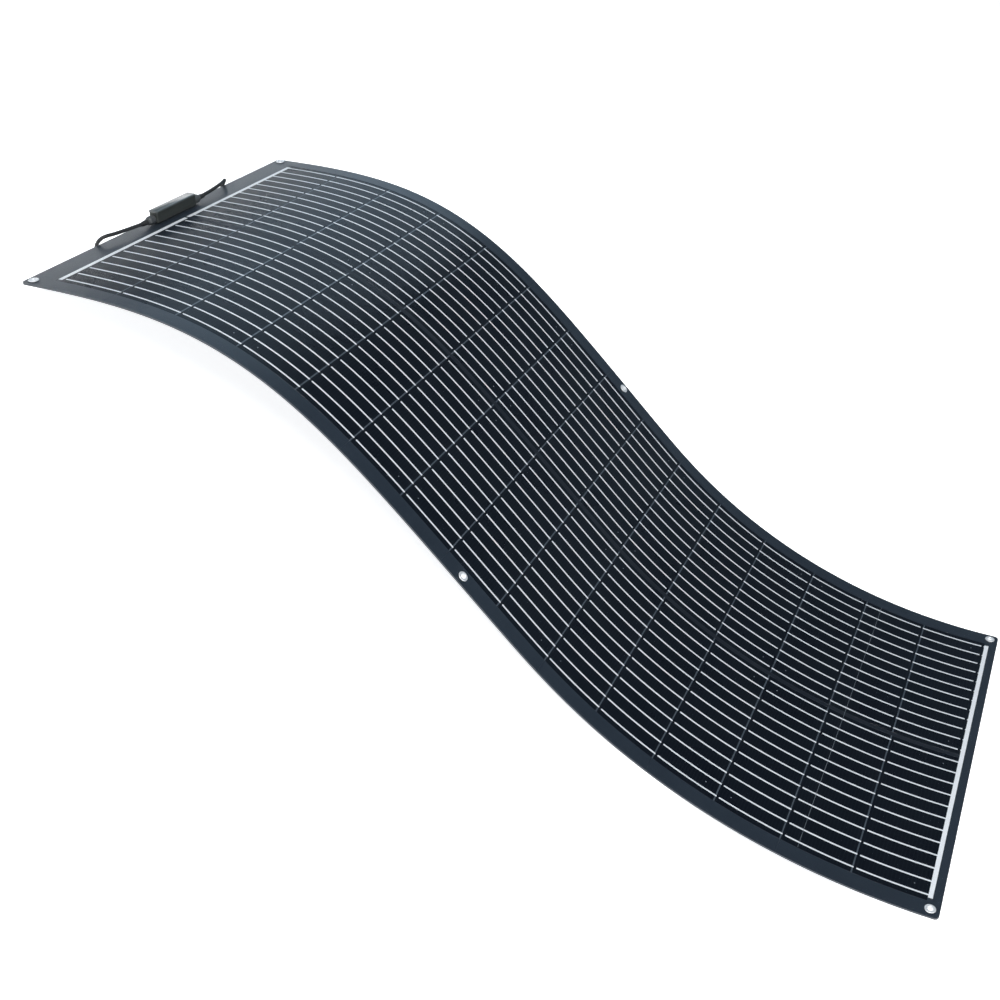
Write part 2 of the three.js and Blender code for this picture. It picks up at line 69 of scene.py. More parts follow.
# %% Main sizes
ROW = 0.071
ROWS = 15
GAP = 0.001
BOX_MARGIN = 0.032
TAIL_MARGIN = 0.013
LENGTH = BOX_MARGIN + ROWS * ROW + TAIL_MARGIN
WIDTH = 0.464
CORNER = 0.005
CELL_WIDTH = 0.21
COLUMN_GAP = 0.006
RIBBONS = 12
RIBBON_PITCH = 0.0178
RIBBON_WIDTH = 0.0018
BAR_WIDTH = 0.0044
BAR_AT = (BOX_MARGIN - 0.0014, BOX_MARGIN + ROWS * ROW + 0.0021)
COLUMN_CENTRE = (CELL_WIDTH + COLUMN_GAP) / 2
FILM = (-0.0004, 0.0)
CELLS = (-0.00085, -0.0007)
BACK = (-0.0028, -0.00045)
POCKET_FLOOR = -0.0009
FLEX_LINES = [BOX_MARGIN + n * ROW for n in range(1, ROWS, 2)]
SECTIONS = len(FLEX_LINES) + 1
EYELET_INSET = 0.009
MIDDLE_EYELET_ROW = 7.375
EYELETS = {
    "box_end": (EYELET_INSET, 1),
    "middle": (BOX_MARGIN + MIDDLE_EYELET_ROW * ROW, 5),
    "tail_end": (LENGTH - EYELET_INSET, SECTIONS),
}
BOX_AT = 0.0116
BOX_ACROSS = 0.0009
BOX_LENGTH = 0.0714
BOX_WIDTH = 0.0114
BOX_HEIGHT = 0.0144
GLAND_HEIGHT = 0.00535
LEAD = 0.004
print(f"sheet {LENGTH * 1000:.0f} x {WIDTH * 1000:.0f} mm, {ROWS * 2} cells")

# %% [markdown]
# ## The wave
#
# A bent sheet is easiest to describe by how fast it turns. Here a bell-shaped bend makes the crest,
# and a steady opposite bend makes the trough. Adding the turns up step by step gives the slope, and
# adding the slopes up gives the curve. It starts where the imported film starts.

# %% The curve of the sheet
CREST_BEND, CREST_AT, CREST_SPREAD = 11.3, 3.0, 2.3
TROUGH_BEND, TROUGH_FROM, TROUGH_EASE = 7.0, 8.65, 0.25
FIRST_SLOPE = math.radians(28.46)
STEP = 0.001


def turn_at(along):
    row = (along - BOX_MARGIN) / ROW
    crest = CREST_BEND * math.exp(-(((row - CREST_AT) / CREST_SPREAD) ** 2))
    trough = TROUGH_BEND / (1 + math.exp(-(row - TROUGH_FROM) / TROUGH_EASE))
    return math.radians(trough - crest) / ROW


def make_wave():
    film_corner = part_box("front_film_1")[0]
    x = film_corner[0]
    z = film_corner[2] - FILM[0] * math.cos(FIRST_SLOPE)
    points = [(x, z, FIRST_SLOPE)]
    for n in range(round(LENGTH / STEP)):
        x, z, slope = points[-1]
        after = slope + turn_at((n + 0.5) * STEP) * STEP
        middle = (slope + after) / 2
        points.append((x + STEP * math.cos(middle), z + STEP * math.sin(middle), after))
    return np.array(points)


WAVE = make_wave()
ALONG = np.arange(len(WAVE)) * STEP


def on_wave(along):
    """x, z and slope of the film's top face at a distance along the sheet."""
    return [float(np.interp(along, ALONG, WAVE[:, k])) for k in range(3)]


def spot(along, across, height):
    x, z, slope = on_wave(along)
    return Vector((x - height * math.sin(slope), across, z + height * math.cos(slope)))


def seat(along, across):
    """A matrix that stands a piece made about the origin on the sheet, its Z out of the film."""
    turn = Matrix.Rotation(-on_wave(along)[2], 4, "Y")
    return Matrix.Translation(spot(along, across, 0)) @ turn


print("crest height", round(WAVE[:, 1].max(), 4), "tail height", round(WAVE[-1, 1], 4))

# %% [markdown]
# ## Camera
#
# The camera looks across the sheet from its near side and is rolled, so the sheet runs from the
# upper left to the lower right. Its x is counted from the film's box end, and its turn is in degrees.

# %% Set up the camera
CAMERA_LENS = 46.07
CAMERA_PLACE = (0.6048, -1.1241, 0.8831)
CAMERA_TURN = (46.125, -25.313, 27.673)

camera_data = bpy.data.cameras.new("camera")
camera_data.lens = CAMERA_LENS
camera_data.sensor_width = 36
camera_data.clip_end = 50
camera = bpy.data.objects.new("camera", camera_data)
camera.location = (WAVE[0, 0] + CAMERA_PLACE[0], *CAMERA_PLACE[1:])
camera.rotation_euler = [math.radians(degrees) for degrees in CAMERA_TURN]
bpy.context.scene.collection.objects.link(camera)
bpy.context.scene.camera = camera
print("camera at", [round(value, 3) for value in camera.location])

# %% [markdown]
# ## Light
#
# Two large soft lamps stand high on the camera's side, away from the directions that the dark cells
# mirror, so the cells stay deep. One weak lamp stands low behind the box end, where the crest mirrors
# it, and gives the crest its sheen. The plain view transform keeps white white and black black, which
# a glossy dark sheet on a pale floor needs. The studio round it all is a soft bluish white near the
# horizon and dim overhead. HAZE_LOW and HAZE_HIGH are where it starts and stops fading, each the sine
# of a height angle.

# %% Set up the lamps and the studio
def area_lamp(name, place, target, size, power, colour=(1, 1, 1)):
    data = bpy.data.lights.new(name, "AREA")
    data.shape = "DISK"
    data.size = size
    data.energy = power
    data.color = colour
    lamp = bpy.data.objects.new(name, data)
    lamp.location = place
    lamp.visible_camera = False
    aim = Vector(target) - Vector(place)
    lamp.rotation_euler = aim.to_track_quat("-Z", "Y").to_euler()
    bpy.context.scene.collection.objects.link(lamp)


bpy.context.scene.view_settings.view_transform = "Standard"

area_lamp("key", (-0.6, -1.6, 2.6), (0, 0, 0), 1.6, 78)
area_lamp("fill", (1.8, -1.2, 1.8), (0, 0, 0), 1.8, 26, (0.95, 0.98, 1.0))
area_lamp("crest_sheen", (-1.37, 1.75, 0.95), (-0.25, 0, 0.1), 1.7, 5.5, (0.62, 0.82, 1.0))

HAZE_LOW, HAZE_HIGH = 0.44, 0.58
HAZE_STRENGTH, OVERHEAD_STRENGTH = 0.34, 0.06
HAZE_COLOUR = (0.60, 0.80, 1.0, 1)


def studio_world():
    world = bpy.data.worlds.new("studio")
    world.use_nodes = True
    nodes = world.node_tree.nodes
    link = world.node_tree.links.new
    direction = nodes.new("ShaderNodeTexCoord")
    parts = nodes.new("ShaderNodeSeparateXYZ")
    fade = nodes.new("ShaderNodeMapRange")
    fade.interpolation_type = "SMOOTHSTEP"
    ends = {
        "From Min": HAZE_LOW,
        "From Max": HAZE_HIGH,
        "To Min": HAZE_STRENGTH,
        "To Max": OVERHEAD_STRENGTH,
    }
    for name, value in ends.items():
        fade.inputs[name].default_value = value
    sky = nodes["Background"]
    sky.inputs["Color"].default_value = HAZE_COLOUR
    link(direction.outputs["Generated"], parts.inputs[0])
    link(parts.outputs["Z"], fade.inputs["Value"])
    link(fade.outputs["Result"], sky.inputs["Strength"])
    return world


bpy.context.scene.world = studio_world()
print("lamps:", [lamp.name for lamp in bpy.data.lights])

# %% [markdown]
# ## Shader helper
#
# Procedural finishes are mostly arithmetic on noise. `Value` wraps a node socket so that Python's own
# operators build the Math nodes, and `Shader` makes every other node from its type, its settings and
# its inputs.

# %% Value and Shader
class Value:
    def __init__(self, shader, socket):
        self.shader = shader
        self.socket = socket

    def _math(self, operation, other, flip=False):
        first, second = (other, self) if flip else (self, other)
        inputs = {0: first, 1: second}
        return self.shader.node("ShaderNodeMath", {"operation": operation}, inputs)

    def __add__(self, other):
        return self._math("ADD", other)

    def __radd__(self, other):
        return self._math("ADD", other, flip=True)

    def __mul__(self, other):
        return self._math("MULTIPLY", other)

    def __rmul__(self, other):
        return self._math("MULTIPLY", other, flip=True)

    def power(self, exponent):
        return self._math("POWER", exponent)

    def smooth(self, low, high):
        """0 below low, 1 above high, with a soft step between."""
        settings = {"interpolation_type": "SMOOTHSTEP"}
        inputs = {"Value": self, "From Min": low, "From Max": high}
        return self.shader.node("ShaderNodeMapRange", settings, inputs, "Result")


class Shader:
    def __init__(self, name):
        self.material = bpy.data.materials.new(name)
        self.material.use_nodes = True
        self.tree = self.material.node_tree
        self.surface = self.tree.nodes["Principled BSDF"]

    def node(self, kind, settings=None, inputs=None, output=0):
        node = self.tree.nodes.new(kind)
        for key, value in (settings or {}).items():
            setattr(node, key, value)
        for key, value in (inputs or {}).items():
            self.feed(node.inputs[key], value)
        return Value(self, node.outputs[output])

    def feed(self, socket, value):
        if isinstance(value, Value):
            self.tree.links.new(value.socket, socket)
        else:
            socket.default_value = value

    def place(self, scale=(1, 1, 1)):
        """Object coordinates, scaled; a piece's object stays at the origin, so they are metres."""
        coordinates = self.node("ShaderNodeTexCoord", output="Object")
        return self.node("ShaderNodeMapping", inputs={"Vector": coordinates, "Scale": scale})

    def noise(self, scale, detail, stretch=(1, 1, 1)):
        inputs = {"Vector": self.place(stretch), "Scale": scale, "Detail": detail}
        return self.node("ShaderNodeTexNoise", {}, inputs, "Fac")

    def cells(self, scale):
        """How far a point is from the nearest of many scattered centres."""
        inputs = {"Vector": self.place(), "Scale": scale}
        return self.node("ShaderNodeTexVoronoi", {}, inputs, "Distance")

    def blend(self, factor, first, second):
        """Mixes two colours. On a Mix node they go into sockets 6 and 7 and come out of socket 2."""
        colours = [(*c, 1) if isinstance(c, tuple) else c for c in (first, second)]
        inputs = {0: factor, 6: colours[0], 7: colours[1]}
        return self.node("ShaderNodeMix", {"data_type": "RGBA"}, inputs, 2)

    def bump(self, height, strength, distance, under=None):
        inputs = {"Height": height, "Strength": strength, "Distance": distance}
        if under is not None:
            inputs["Normal"] = under
        return self.node("ShaderNodeBump", {}, inputs, "Normal")

    def finish(self, **sockets):
        """Feeds the surface's sockets: base_color becomes Base Color, and so on."""
        for key, value in sockets.items():
            socket = self.surface.inputs[key.replace("_", " ").title().replace("Ior", "IOR")]
            if isinstance(value, tuple):
                value = (*value, 1)
            self.feed(socket, value)
        return self.material


print("shader helper ready")

# %% [markdown]
# ## Finishes of the sheet
#
# The film is embossed with a fine grain, which breaks up every reflection on the sheet. The layers
# under it get the same grain, because they are seen through it. The film itself is left without
# gloss, and the layers below carry the sheen, because a sharp reflection on a surface that is nearly
# all clear comes out as white specks.

# %% Laminate, silicon and film
def embossed(shader, strength):
    """The film's fine emboss: pebbles about a millimetre across, and a slow waviness under them."""
    pebbles = shader.cells(1100)
    waviness = shader.noise(60, 1.0)
    soft = shader.bump(waviness, 0.12, 0.002)
    return shader.bump(pebbles, strength, 0.0003, soft)


def back_finish():
    s = Shader("back_laminate")
    mottle = s.noise(9, 4.0)
    fibre = s.noise(900, 2.0, (1, 0.12, 1))
    tone = (mottle * 0.7 + fibre * 0.3).smooth(0.25, 0.75)
    colour = s.blend(tone, (0.0085, 0.0150, 0.0250), (0.0140, 0.0225, 0.0350))
    rough = 0.42 + 0.12 * fibre
    return s.finish(
        base_color=colour,
        roughness=rough,
        normal=embossed(s, 0.3),
        coat_weight=0.55,
        coat_roughness=0.30,
    )


def cell_finish():
    """Silicon under an anti-reflection coat: almost black, slightly blue, with hair-thin grid lines."""
    s = Shader("silicon")
    cloud = s.noise(14, 3.0)
    fingers = s.node(
        "ShaderNodeTexWave",
        {"wave_type": "BANDS", "bands_direction": "X", "wave_profile": "SIN"},
        {"Vector": s.place(), "Scale": 95.0, "Distortion": 0.0},
        "Fac",
    )
    lines = fingers.power(9)
    body = s.blend(cloud, (0.0009, 0.0020, 0.0048), (0.0022, 0.0040, 0.0080))
    colour = s.blend(lines * 0.16, body, (0.030, 0.036, 0.044))
    rough = 0.24 + 0.08 * cloud
    return s.finish(
        base_color=colour,
        roughness=rough,
        specular_ior_level=0.20,
        normal=embossed(s, 0.12),
        coat_weight=0.10,
        coat_roughness=0.24,
    )


def film_finish():
    s = Shader("clear_film")
    haze = s.noise(30, 3.0)
    return s.finish(
        base_color=s.blend(haze, (0.05, 0.065, 0.09), (0.08, 0.10, 0.13)),
        roughness=0.6,
        specular_ior_level=0.0,
        normal=embossed(s, 0.2),
        alpha=0.015 + 0.015 * haze,
    )


LAMINATE = back_finish()
SILICON = cell_finish()
CLEAR = film_finish()
print("sheet finishes:", LAMINATE.name, SILICON.name, CLEAR.name)

# %% [markdown]
# ## Finishes of the metal
#
# Tinned copper is a soft silver with fine scratches along the ribbon. The nickel plate on the eyelets
# is finely marked and a little stained, and the brass of the contacts is tarnished in patches.

# %% Tin, nickel and brass
def tinned_finish():
    s = Shader("tinned_ribbon")
    scratch = s.noise(1500, 2.0, (0.04, 1, 1))
    dull = s.noise(40, 3.0)
    colour = s.blend(dull, (0.91, 0.94, 0.97), (0.83, 0.87, 0.91))
    rough = 0.38 + 0.14 * scratch
    normal = s.bump(scratch, 0.15, 0.0002)
    return s.finish(base_color=colour, metallic=0.12, roughness=rough, normal=normal)


def nickel_finish():
    s = Shader("nickel")
    stain = s.noise(260, 3.0)
    marks = s.noise(2200, 1.0, (1, 1, 0.1))
    colour = s.blend(stain, (0.93, 0.94, 0.95), (0.84, 0.85, 0.86))
    rough = 0.30 + 0.18 * stain + 0.06 * marks
    normal = s.bump(marks, 0.1, 0.0001)
    return s.finish(base_color=colour, metallic=0.55, roughness=rough, normal=normal)


def brass_finish():
    s = Shader("brass_contact")
    tarnish = s.noise(300, 4.0)
    colour = s.blend(tarnish.smooth(0.4, 0.7), (0.62, 0.42, 0.16), (0.38, 0.24, 0.10))
    return s.finish(base_color=colour, metallic=1.0, roughness=0.25 + 0.2 * tarnish)


TINNED = tinned_finish()
NICKEL = nickel_finish()
BRASS = brass_finish()
print("metal finishes:", TINNED.name, NICKEL.name, BRASS.name)

# %% [markdown]
# ## Finishes of the plastic, resin, rubber and bar tin
#
# These differ mostly in tone and gloss, so one function makes them all, from two tones, the fineness
# of the grain, the roughness and the gloss.

# %% Plastic, resin and bar tin
def moulded_finish(name, first, second, grain=1400.0, rough=0.5, gloss=0.0):
    """A fine grain, a slow change between two tones, and a clear coat as strong as gloss."""
    s = Shader(name)
    tone = s.noise(70, 3.0)
    texture = s.noise(grain, 2.0)
    pits = s.cells(grain * 0.8)
    normal = s.bump(texture * 0.6 + pits * 0.4, 0.35, 0.0002)
    colour = s.blend(tone, first, second)
    return s.finish(
        base_color=colour,
        roughness=rough + 0.15 * texture,
        normal=normal,
        coat_weight=gloss,
        coat_roughness=0.2,
    )


BAR = moulded_finish("bar_tin", (0.93, 0.95, 0.97), (0.86, 0.89, 0.92), 1500.0, 0.30, 0.2)
DOT = moulded_finish("dot_tin", (0.16, 0.18, 0.21), (0.24, 0.27, 0.30), 1500.0, 0.5)
SEAM = moulded_finish("seam_resin", (0.0035, 0.0060, 0.0115), (0.0060, 0.0095, 0.0160), 900.0, 0.40)
NUT = moulded_finish("nut_plastic", (0.058, 0.062, 0.064), (0.082, 0.087, 0.089), 1400.0, 0.38, 0.4)
HOUSING = moulded_finish("box_plastic", (0.022, 0.026, 0.024), (0.034, 0.038, 0.035))
# The lid's tones are about twice as light as the tray's: lid plastic with a painted sheen for the
# bright reflection on its glossy top.
LID_WITH_PAINTED_SHEEN = moulded_finish("lid_plastic_and_painted_sheen", (0.056, 0.064, 0.063), (0.078, 0.088, 0.086), 1100.0, 0.30, 0.8)
SHEATH = moulded_finish("lead_sheath", (0.018, 0.019, 0.020), (0.030, 0.031, 0.033), 2400.0, 0.55)
FILLER = moulded_finish("gap_filler", (0.050, 0.064, 0.082), (0.072, 0.088, 0.108), 900.0, 0.30, 0.9)
RUBBER = moulded_finish("seal_rubber", (0.010, 0.010, 0.010), (0.018, 0.018, 0.018), 900.0, 0.8)
print("finishes:", len(bpy.data.materials))

# %% [markdown]
# ## Putting pieces into the scene
#
# Every piece keeps its object at the origin. It rides on one rigid section of the sheet. On the
# sections that swing, a layer gets a mesh of its own.

# %% Helpers for pieces
SMOOTH_BELOW = math.radians(35)


def add_piece(name, mesh, finish, body, *nodes, slot=None):
    mesh.materials.clear()
    mesh.materials.append(finish)
    piece = bpy.data.objects.new(name, mesh)
    bpy.context.scene.collection.objects.link(piece)
    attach(piece, body)
    if nodes:
        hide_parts(*nodes)
    return piece


def section_ends(number):
    edges = [0.0, *FLEX_LINES, LENGTH]
    return edges[number - 1], edges[number]


def flatten(piece, number, height):
    """Gives a piece of a swinging section a mesh of its own; the ends of its section are worked out but
    not used, and the first section is left as it is.
    """
    if number == 1:
        return
    start, end = [spot(along, 0, height) for along in section_ends(number)]
    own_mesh(piece)


def shade(mesh):
    """Smooth shading, with an edge kept sharp where its faces meet at more than SMOOTH_BELOW."""
    mesh.polygons.foreach_set("use_smooth", [True] * len(mesh.polygons))
    bm = bmesh.new()
    bm.from_mesh(mesh)
    for edge in bm.edges:
        edge.smooth = edge.calc_face_angle(0) < SMOOTH_BELOW
    bm.to_mesh(mesh)
    bm.free()
    return mesh


def mesh_from(name, points, faces):
    mesh = bpy.data.meshes.new(name)
    mesh.from_pydata([tuple(p) for p in points], [], faces)
    mesh.validate()
    return mesh


print("ends of section 1:", section_ends(1))

# %% [markdown]
# ## Floor
#
# The sheet lies on plain white. One wide face that glows makes it, so that it stays white up to its
# far edge. The face lies a hair under the object's lowest point, so that it doesn't cut through the
# trough. It is staging and not part of the object.

# %% Lay the floor
FLOOR_AT = -0.0004
FLOOR_HALF = 9


def floor_finish():
    s = Shader("floor")
    glow = {"emission_color": (1.0, 1.0, 1.0), "emission_strength": 0.85}
    return s.finish(base_color=(0.9, 0.9, 0.9), roughness=0.9, specular_ior_level=0.1, **glow)


square = ((-1, -1), (1, -1), (1, 1), (-1, 1))
floor_corners = [(x * FLOOR_HALF, y * FLOOR_HALF, FLOOR_AT) for x, y in square]
floor_mesh = mesh_from("floor", floor_corners, [(0, 1, 2, 3)])
floor_mesh.materials.append(floor_finish())
floor = bpy.data.objects.new("floor", floor_mesh)
bpy.context.scene.collection.objects.link(floor)
print("floor at", FLOOR_AT)

# %% [markdown]
# ## The two leads
#
# Each lead is 4 mm cable. It leaves its gland along the edge, rolls over the end of the sheet and
# runs back under it to a small coil, which ends in a plug connector. The route's points are the same
# as in the CAD model; the coil's four turns are worked out by a loop, two turns side by side and two
# on top of them.

# %% Route of a lead
LEAD_ROUTE = [
    (0.00768, 0.0476, 0.03073),
    (0.00765, 0.054, 0.0310),
    (0.0073, 0.062, 0.0313),
    (0.0067, 0.071, 0.0314),
    (0.0058, 0.080, 0.0313),
    (0.0046, 0.0885, 0.0309),
    (0.0031, 0.0965, 0.0302),
    (0.0015, 0.1026, 0.0296),
    (0.0002, 0.1069, 0.0287),
    (-0.0013, 0.1102, 0.0266),
    (-0.0024, 0.1123, 0.0233),
    (-0.0031, 0.1131, 0.0193),
    (-0.0031, 0.1131, 0.0148),
    (-0.0019, 0.1131, 0.0099),
    (0.0009, 0.1131, 0.0060),
    (0.0050, 0.1131, 0.0034),
    (0.0105, 0.1131, 0.0023),
    (0.018, 0.1131, 0.0021),
    (0.028, 0.1131, 0.0021),
    (0.042, 0.1131, 0.0021),
    (0.057, 0.1131, 0.0021),
]
FAR_LEAD_STRETCH = 1.045
COIL_AT = 0.072
COIL_RADIUS = 0.024
COIL_TURNS = 4
LAST_PART_TURN = 0.25
CROSSOVER = 0.4
POINTS_PER_TURN = 24
LOW_TURN_HEIGHT = 0.0021
CONNECTOR_AFTER_COIL = 0.024
CONNECTOR_HEIGHT = 0.00805
INTO_CONNECTOR = 0.0005
LAST_RISE = 0.0008


def across_at(side, out):
    """The place across the sheet of a point on a lead this far out from the box's middle."""
    exit_at = LEAD_ROUTE[0][1]
    stretch = FAR_LEAD_STRETCH if side > 0 else 1
    return BOX_ACROSS + side * (exit_at + (out - exit_at) * stretch)


def coil_centre(side):
    outer_turn = COIL_RADIUS + LEAD / 2
    return spot(0, 0, 0).x + COIL_AT, across_at(side, LEAD_ROUTE[-1][1]) - side * outer_turn


def coil_points(side):
    """Four turns: outer and inner on the floor, then inner and outer on top.

    A turn moves over to the next one's place in its last part, which CROSSOVER gives.
    """
    centre_x, centre_y = coil_centre(side)
    offsets = [(1, 0), (-1, 0), (-1, 1), (1, 1)]
    offsets.append(offsets[-1])
    points = []
    for n in range(round((COIL_TURNS + LAST_PART_TURN) * POINTS_PER_TURN) + 1):
        turn, share = divmod(n / POINTS_PER_TURN, 1)
        here = offsets[min(int(turn), COIL_TURNS)]
        after = offsets[min(int(turn) + 1, COIL_TURNS)]
        ease = min(max((share - (1 - CROSSOVER)) / CROSSOVER, 0), 1)
        ease = ease * ease * (3 - 2 * ease)
        ring = here[0] + (after[0] - here[0]) * ease
        level = here[1] + (after[1] - here[1]) * ease
        radius = COIL_RADIUS + ring * LEAD / 2
        angle = -math.pi / 2 + (turn + share) * math.tau
        x = centre_x + radius * math.cos(angle)
        y = centre_y - side * radius * math.sin(angle)
        points.append((x, y, LOW_TURN_HEIGHT + level * LEAD))
    return points


def lead_points(side):
    """The whole lead's points in the frame; side is -1 for the near one and 1 for the far one."""
    start = spot(0, 0, 0).x
    route = [(start + x, across_at(side, out), z) for x, out, z in LEAD_ROUTE]
    route += coil_points(side)
    x, y, z = route[-1]
    halfway = (x, y - side * CONNECTOR_AFTER_COIL / 2, z + LAST_RISE)
    inside_connector = (x, y - side * (CONNECTOR_AFTER_COIL + INTO_CONNECTOR), CONNECTOR_HEIGHT)
    return [*route, halfway, inside_connector]


print("points on a lead:", len(lead_points(1)))

# %% [markdown]
# ## The cable
#
# A curve with a round bevel follows the points.

# %% Cable of a lead
def make_lead(name, side):
    points = lead_points(side)
    curve = bpy.data.curves.new(f"lead_{name}", "CURVE")
    curve.dimensions = "3D"
    curve.bevel_depth = LEAD / 2
    curve.bevel_resolution = 5
    curve.resolution_u = 5
    curve.use_fill_caps = True
    spline = curve.splines.new("BEZIER")
    spline.bezier_points.add(len(points) - 1)
    for bezier, point in zip(spline.bezier_points, points):
        bezier.co = point
        bezier.handle_left_type = "AUTO"
        bezier.handle_right_type = "AUTO"
    curve.materials.append(SHEATH)
    piece = bpy.data.objects.new(f"lead_{name}_cable", curve)
    bpy.context.scene.collection.objects.link(piece)
    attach(piece, "section_1")
    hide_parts(f"lead_{name}", f"lead_coil_{name}")
    steps = [math.dist(a, b) for a, b in zip(points, points[1:])]
    return piece, points, sum(steps)


# %% [markdown]
# ## Strain relief and connector
#
# A lead needs a strain relief, a short boot that tapers from the gland nut to the cable, so that the
# cable doesn't kink where it comes out. It is a turned profile with shallow rings. The plug connector
# at the other end is turned too, with a ribbed grip and a barrel.

# %% Turned pieces on the leads
def turned(name, profile, segments=48):
    """A solid of revolution about Z from (radius, height) points."""
    bm = bmesh.new()
    rings = []
    for n in range(segments):
        angle = n / segments * math.tau
        ring = []
        for radius, height in profile:
            point = (radius * math.cos(angle), radius * math.sin(angle), height)
            ring.append(bm.verts.new(point))
        rings.append(ring)
    for n in range(segments):
        here = rings[n]
        after = rings[(n + 1) % segments]
        for k in range(len(profile) - 1):
            bm.faces.new((here[k], after[k], after[k + 1], here[k + 1]))
    bmesh.ops.remove_doubles(bm, verts=bm.verts, dist=1e-7)
    bmesh.ops.recalc_face_normals(bm, faces=bm.faces)
    mesh = bpy.data.meshes.new(name)
    bm.to_mesh(mesh)
    bm.free()
    return shade(mesh)


def moved(mesh, matrix):
    mesh.transform(matrix)
    mesh.update()
    return mesh


def tipped(side):
    """Lays a piece made along Z down, so that it points out towards one side of the sheet."""
    return Matrix.Rotation(math.radians(90 if side < 0 else -90), 4, "X")


def out_of_gland(side):
    """Stands a piece made along Z on the gland's axis, pointing out along the edge."""
    return seat(BOX_AT, BOX_ACROSS) @ Matrix.Translation((0, 0, GLAND_HEIGHT)) @ tipped(side)


BOOT_FROM = BOX_LENGTH / 2 + 0.0118
BOOT_LENGTH = 0.009
BOOT_RADIUS = 0.0029
BOOT_TAPER = 0.0006
BOOT_RINGS = 5
RING_SWELL = 0.0002
BOOT_BORE = LEAD / 2 + 0.0001


def strain_relief(name, side):
    profile = [(BOOT_BORE, 0.0)]
    steps = BOOT_RINGS * 4
    for n in range(steps + 1):
        share = n / steps
        swell = RING_SWELL if n % 4 in (1, 2) else 0.0
        profile.append((BOOT_RADIUS - BOOT_TAPER * share + swell, BOOT_LENGTH * share))
    profile.append((BOOT_BORE, BOOT_LENGTH))
    profile.append(profile[0])
    mesh = turned(f"boot_{name}", profile)
    place = out_of_gland(side) @ Matrix.Translation((0, 0, BOOT_FROM))
    return add_piece(f"strain_relief_{name}", moved(mesh, place), SHEATH, "section_1", slot="seal")


def connector_profile():
    """Radius and height of the shell: cable end, ribbed grip, collar, barrel and hollow nose."""
    ribs = []
    for n in range(6):
        ribs += [(0.0068, 0.0045 + n * 0.0014), (0.0063, 0.0052 + n * 0.0014)]
    return [
        (0.0, 0.0),
        (0.0042, 0.0),
        (0.0062, 0.0026),
        (0.0067, 0.0034),
        *ribs,
        (0.0067, 0.0150),
        (0.0078, 0.0156),
        (0.0080, 0.0164),
        (0.0080, 0.0292),
        (0.0076, 0.0300),
        (0.0070, 0.0304),
        (0.0070, 0.0352),
        (0.0066, 0.0358),
        (0.0054, 0.0362),
        (0.0054, 0.0500),
        (0.0050, 0.0516),
        (0.0036, 0.0519),
        (0.0034, 0.0400),
        (0.0, 0.0400),
    ]


def make_connector(name, side):
    x, y = coil_centre(side)
    x += COIL_RADIUS + LEAD / 2
    stand = Matrix.Translation((x, y - side * CONNECTOR_AFTER_COIL, CONNECTOR_HEIGHT))
    place = stand @ tipped(-side)
    mesh = moved(turned(f"plug_{name}", connector_profile(), 40), place)
    return add_piece(f"connector_{name}_shell", mesh, HOUSING, "section_1", f"connector_{name}")


for name, side in (("near", -1), ("far", 1)):
    cable, points, length = make_lead(name, side)
    boot = strain_relief(name, side)
    plug = make_connector(name, side)
    print(f"lead {name}: {length * 1000:.0f} mm")

# %% [markdown]
# ## Layers swept along the wave
#
# Every layer is one cross-section swept along the sheet. A short step of about 6 mm keeps the curve
# smooth. Near the ends the width follows the corner's circle, so the corners come out round without a
# cut.

# %% Sweeping a layer
FINE_STEP = ROW / 12
CORNER_POINTS = 5
SAME_PLACE = 1e-5


def half_width(along, full):
    """Half the sheet's width at a distance, drawn in at the rounded corners."""
    from_end = min(along, LENGTH - along)
    if from_end >= CORNER:
        return full
    reach = CORNER - from_end
    return full - CORNER + math.sqrt(max(CORNER * CORNER - reach * reach, 0))


def steps_between(start, end):
    """Distances from start to end: whole fine steps, and a closer few at a rounded corner."""
    turns = [math.pi / 2 * n / CORNER_POINTS for n in range(1, CORNER_POINTS + 1)]
    corner = [CORNER * (1 - math.cos(turn)) for turn in turns]
    marks = corner + [LENGTH - mark for mark in corner]
    first = math.ceil((start - BOX_MARGIN) / FINE_STEP)
    count = round((end - start) / FINE_STEP) + 2
    marks += [BOX_MARGIN + (first + n) * FINE_STEP for n in range(count)]
    inner = sorted(mark for mark in marks if start + SAME_PLACE < mark < end - SAME_PLACE)
    return [start, *inner, end]


def swept(name, section, start, end, round_corners=False):
    """Sweeps (across, height) points along the sheet into one closed mesh."""
    points = []
    marks = steps_between(start, end)
    widest = max(abs(across) for across, _ in section)
    for along in marks:
        limit = half_width(along, widest) if round_corners else widest
        for across, height in section:
            kept = max(-limit, min(limit, across))
            points.append(spot(along, kept, height))
    count = len(section)
    faces = []
    for step in range(len(marks) - 1):
        for k in range(count):
            j = (k + 1) % count
            low = step * count
            faces.append((low + k, low + j, low + count + j, low + count + k))
    faces.append(tuple(range(count))[::-1])
    last = (len(marks) - 1) * count
    faces.append(tuple(last + k for k in range(count)))
    return mesh_from(name, points, faces)


def tidy(mesh):
    """Turns every face outwards and shades the mesh."""
    bm = bmesh.new()
    bm.from_mesh(mesh)
    bmesh.ops.recalc_face_normals(bm, faces=bm.faces)
    bm.to_mesh(mesh)
    bm.free()
    return shade(mesh)


def strip_section(left, right, heights, edge=0.00012):
    """A thin rectangle with its upper edges eased."""
    low, high = heights
    return [
        (left, low),
        (right, low),
        (right, high - edge),
        (right - edge, high),
        (left + edge, high),
        (left, high - edge),
    ]


def merged(name, meshes):
    """Joins several meshes into one."""
    bm = bmesh.new()
    for mesh in meshes:
        bm.from_mesh(mesh)
    result = bpy.data.meshes.new(name)
    bm.to_mesh(result)
    bm.free()
    for mesh in meshes:
        bpy.data.meshes.remove(mesh)
    return tidy(result)


print("steps in section 2:", len(steps_between(*section_ends(2))) - 1)

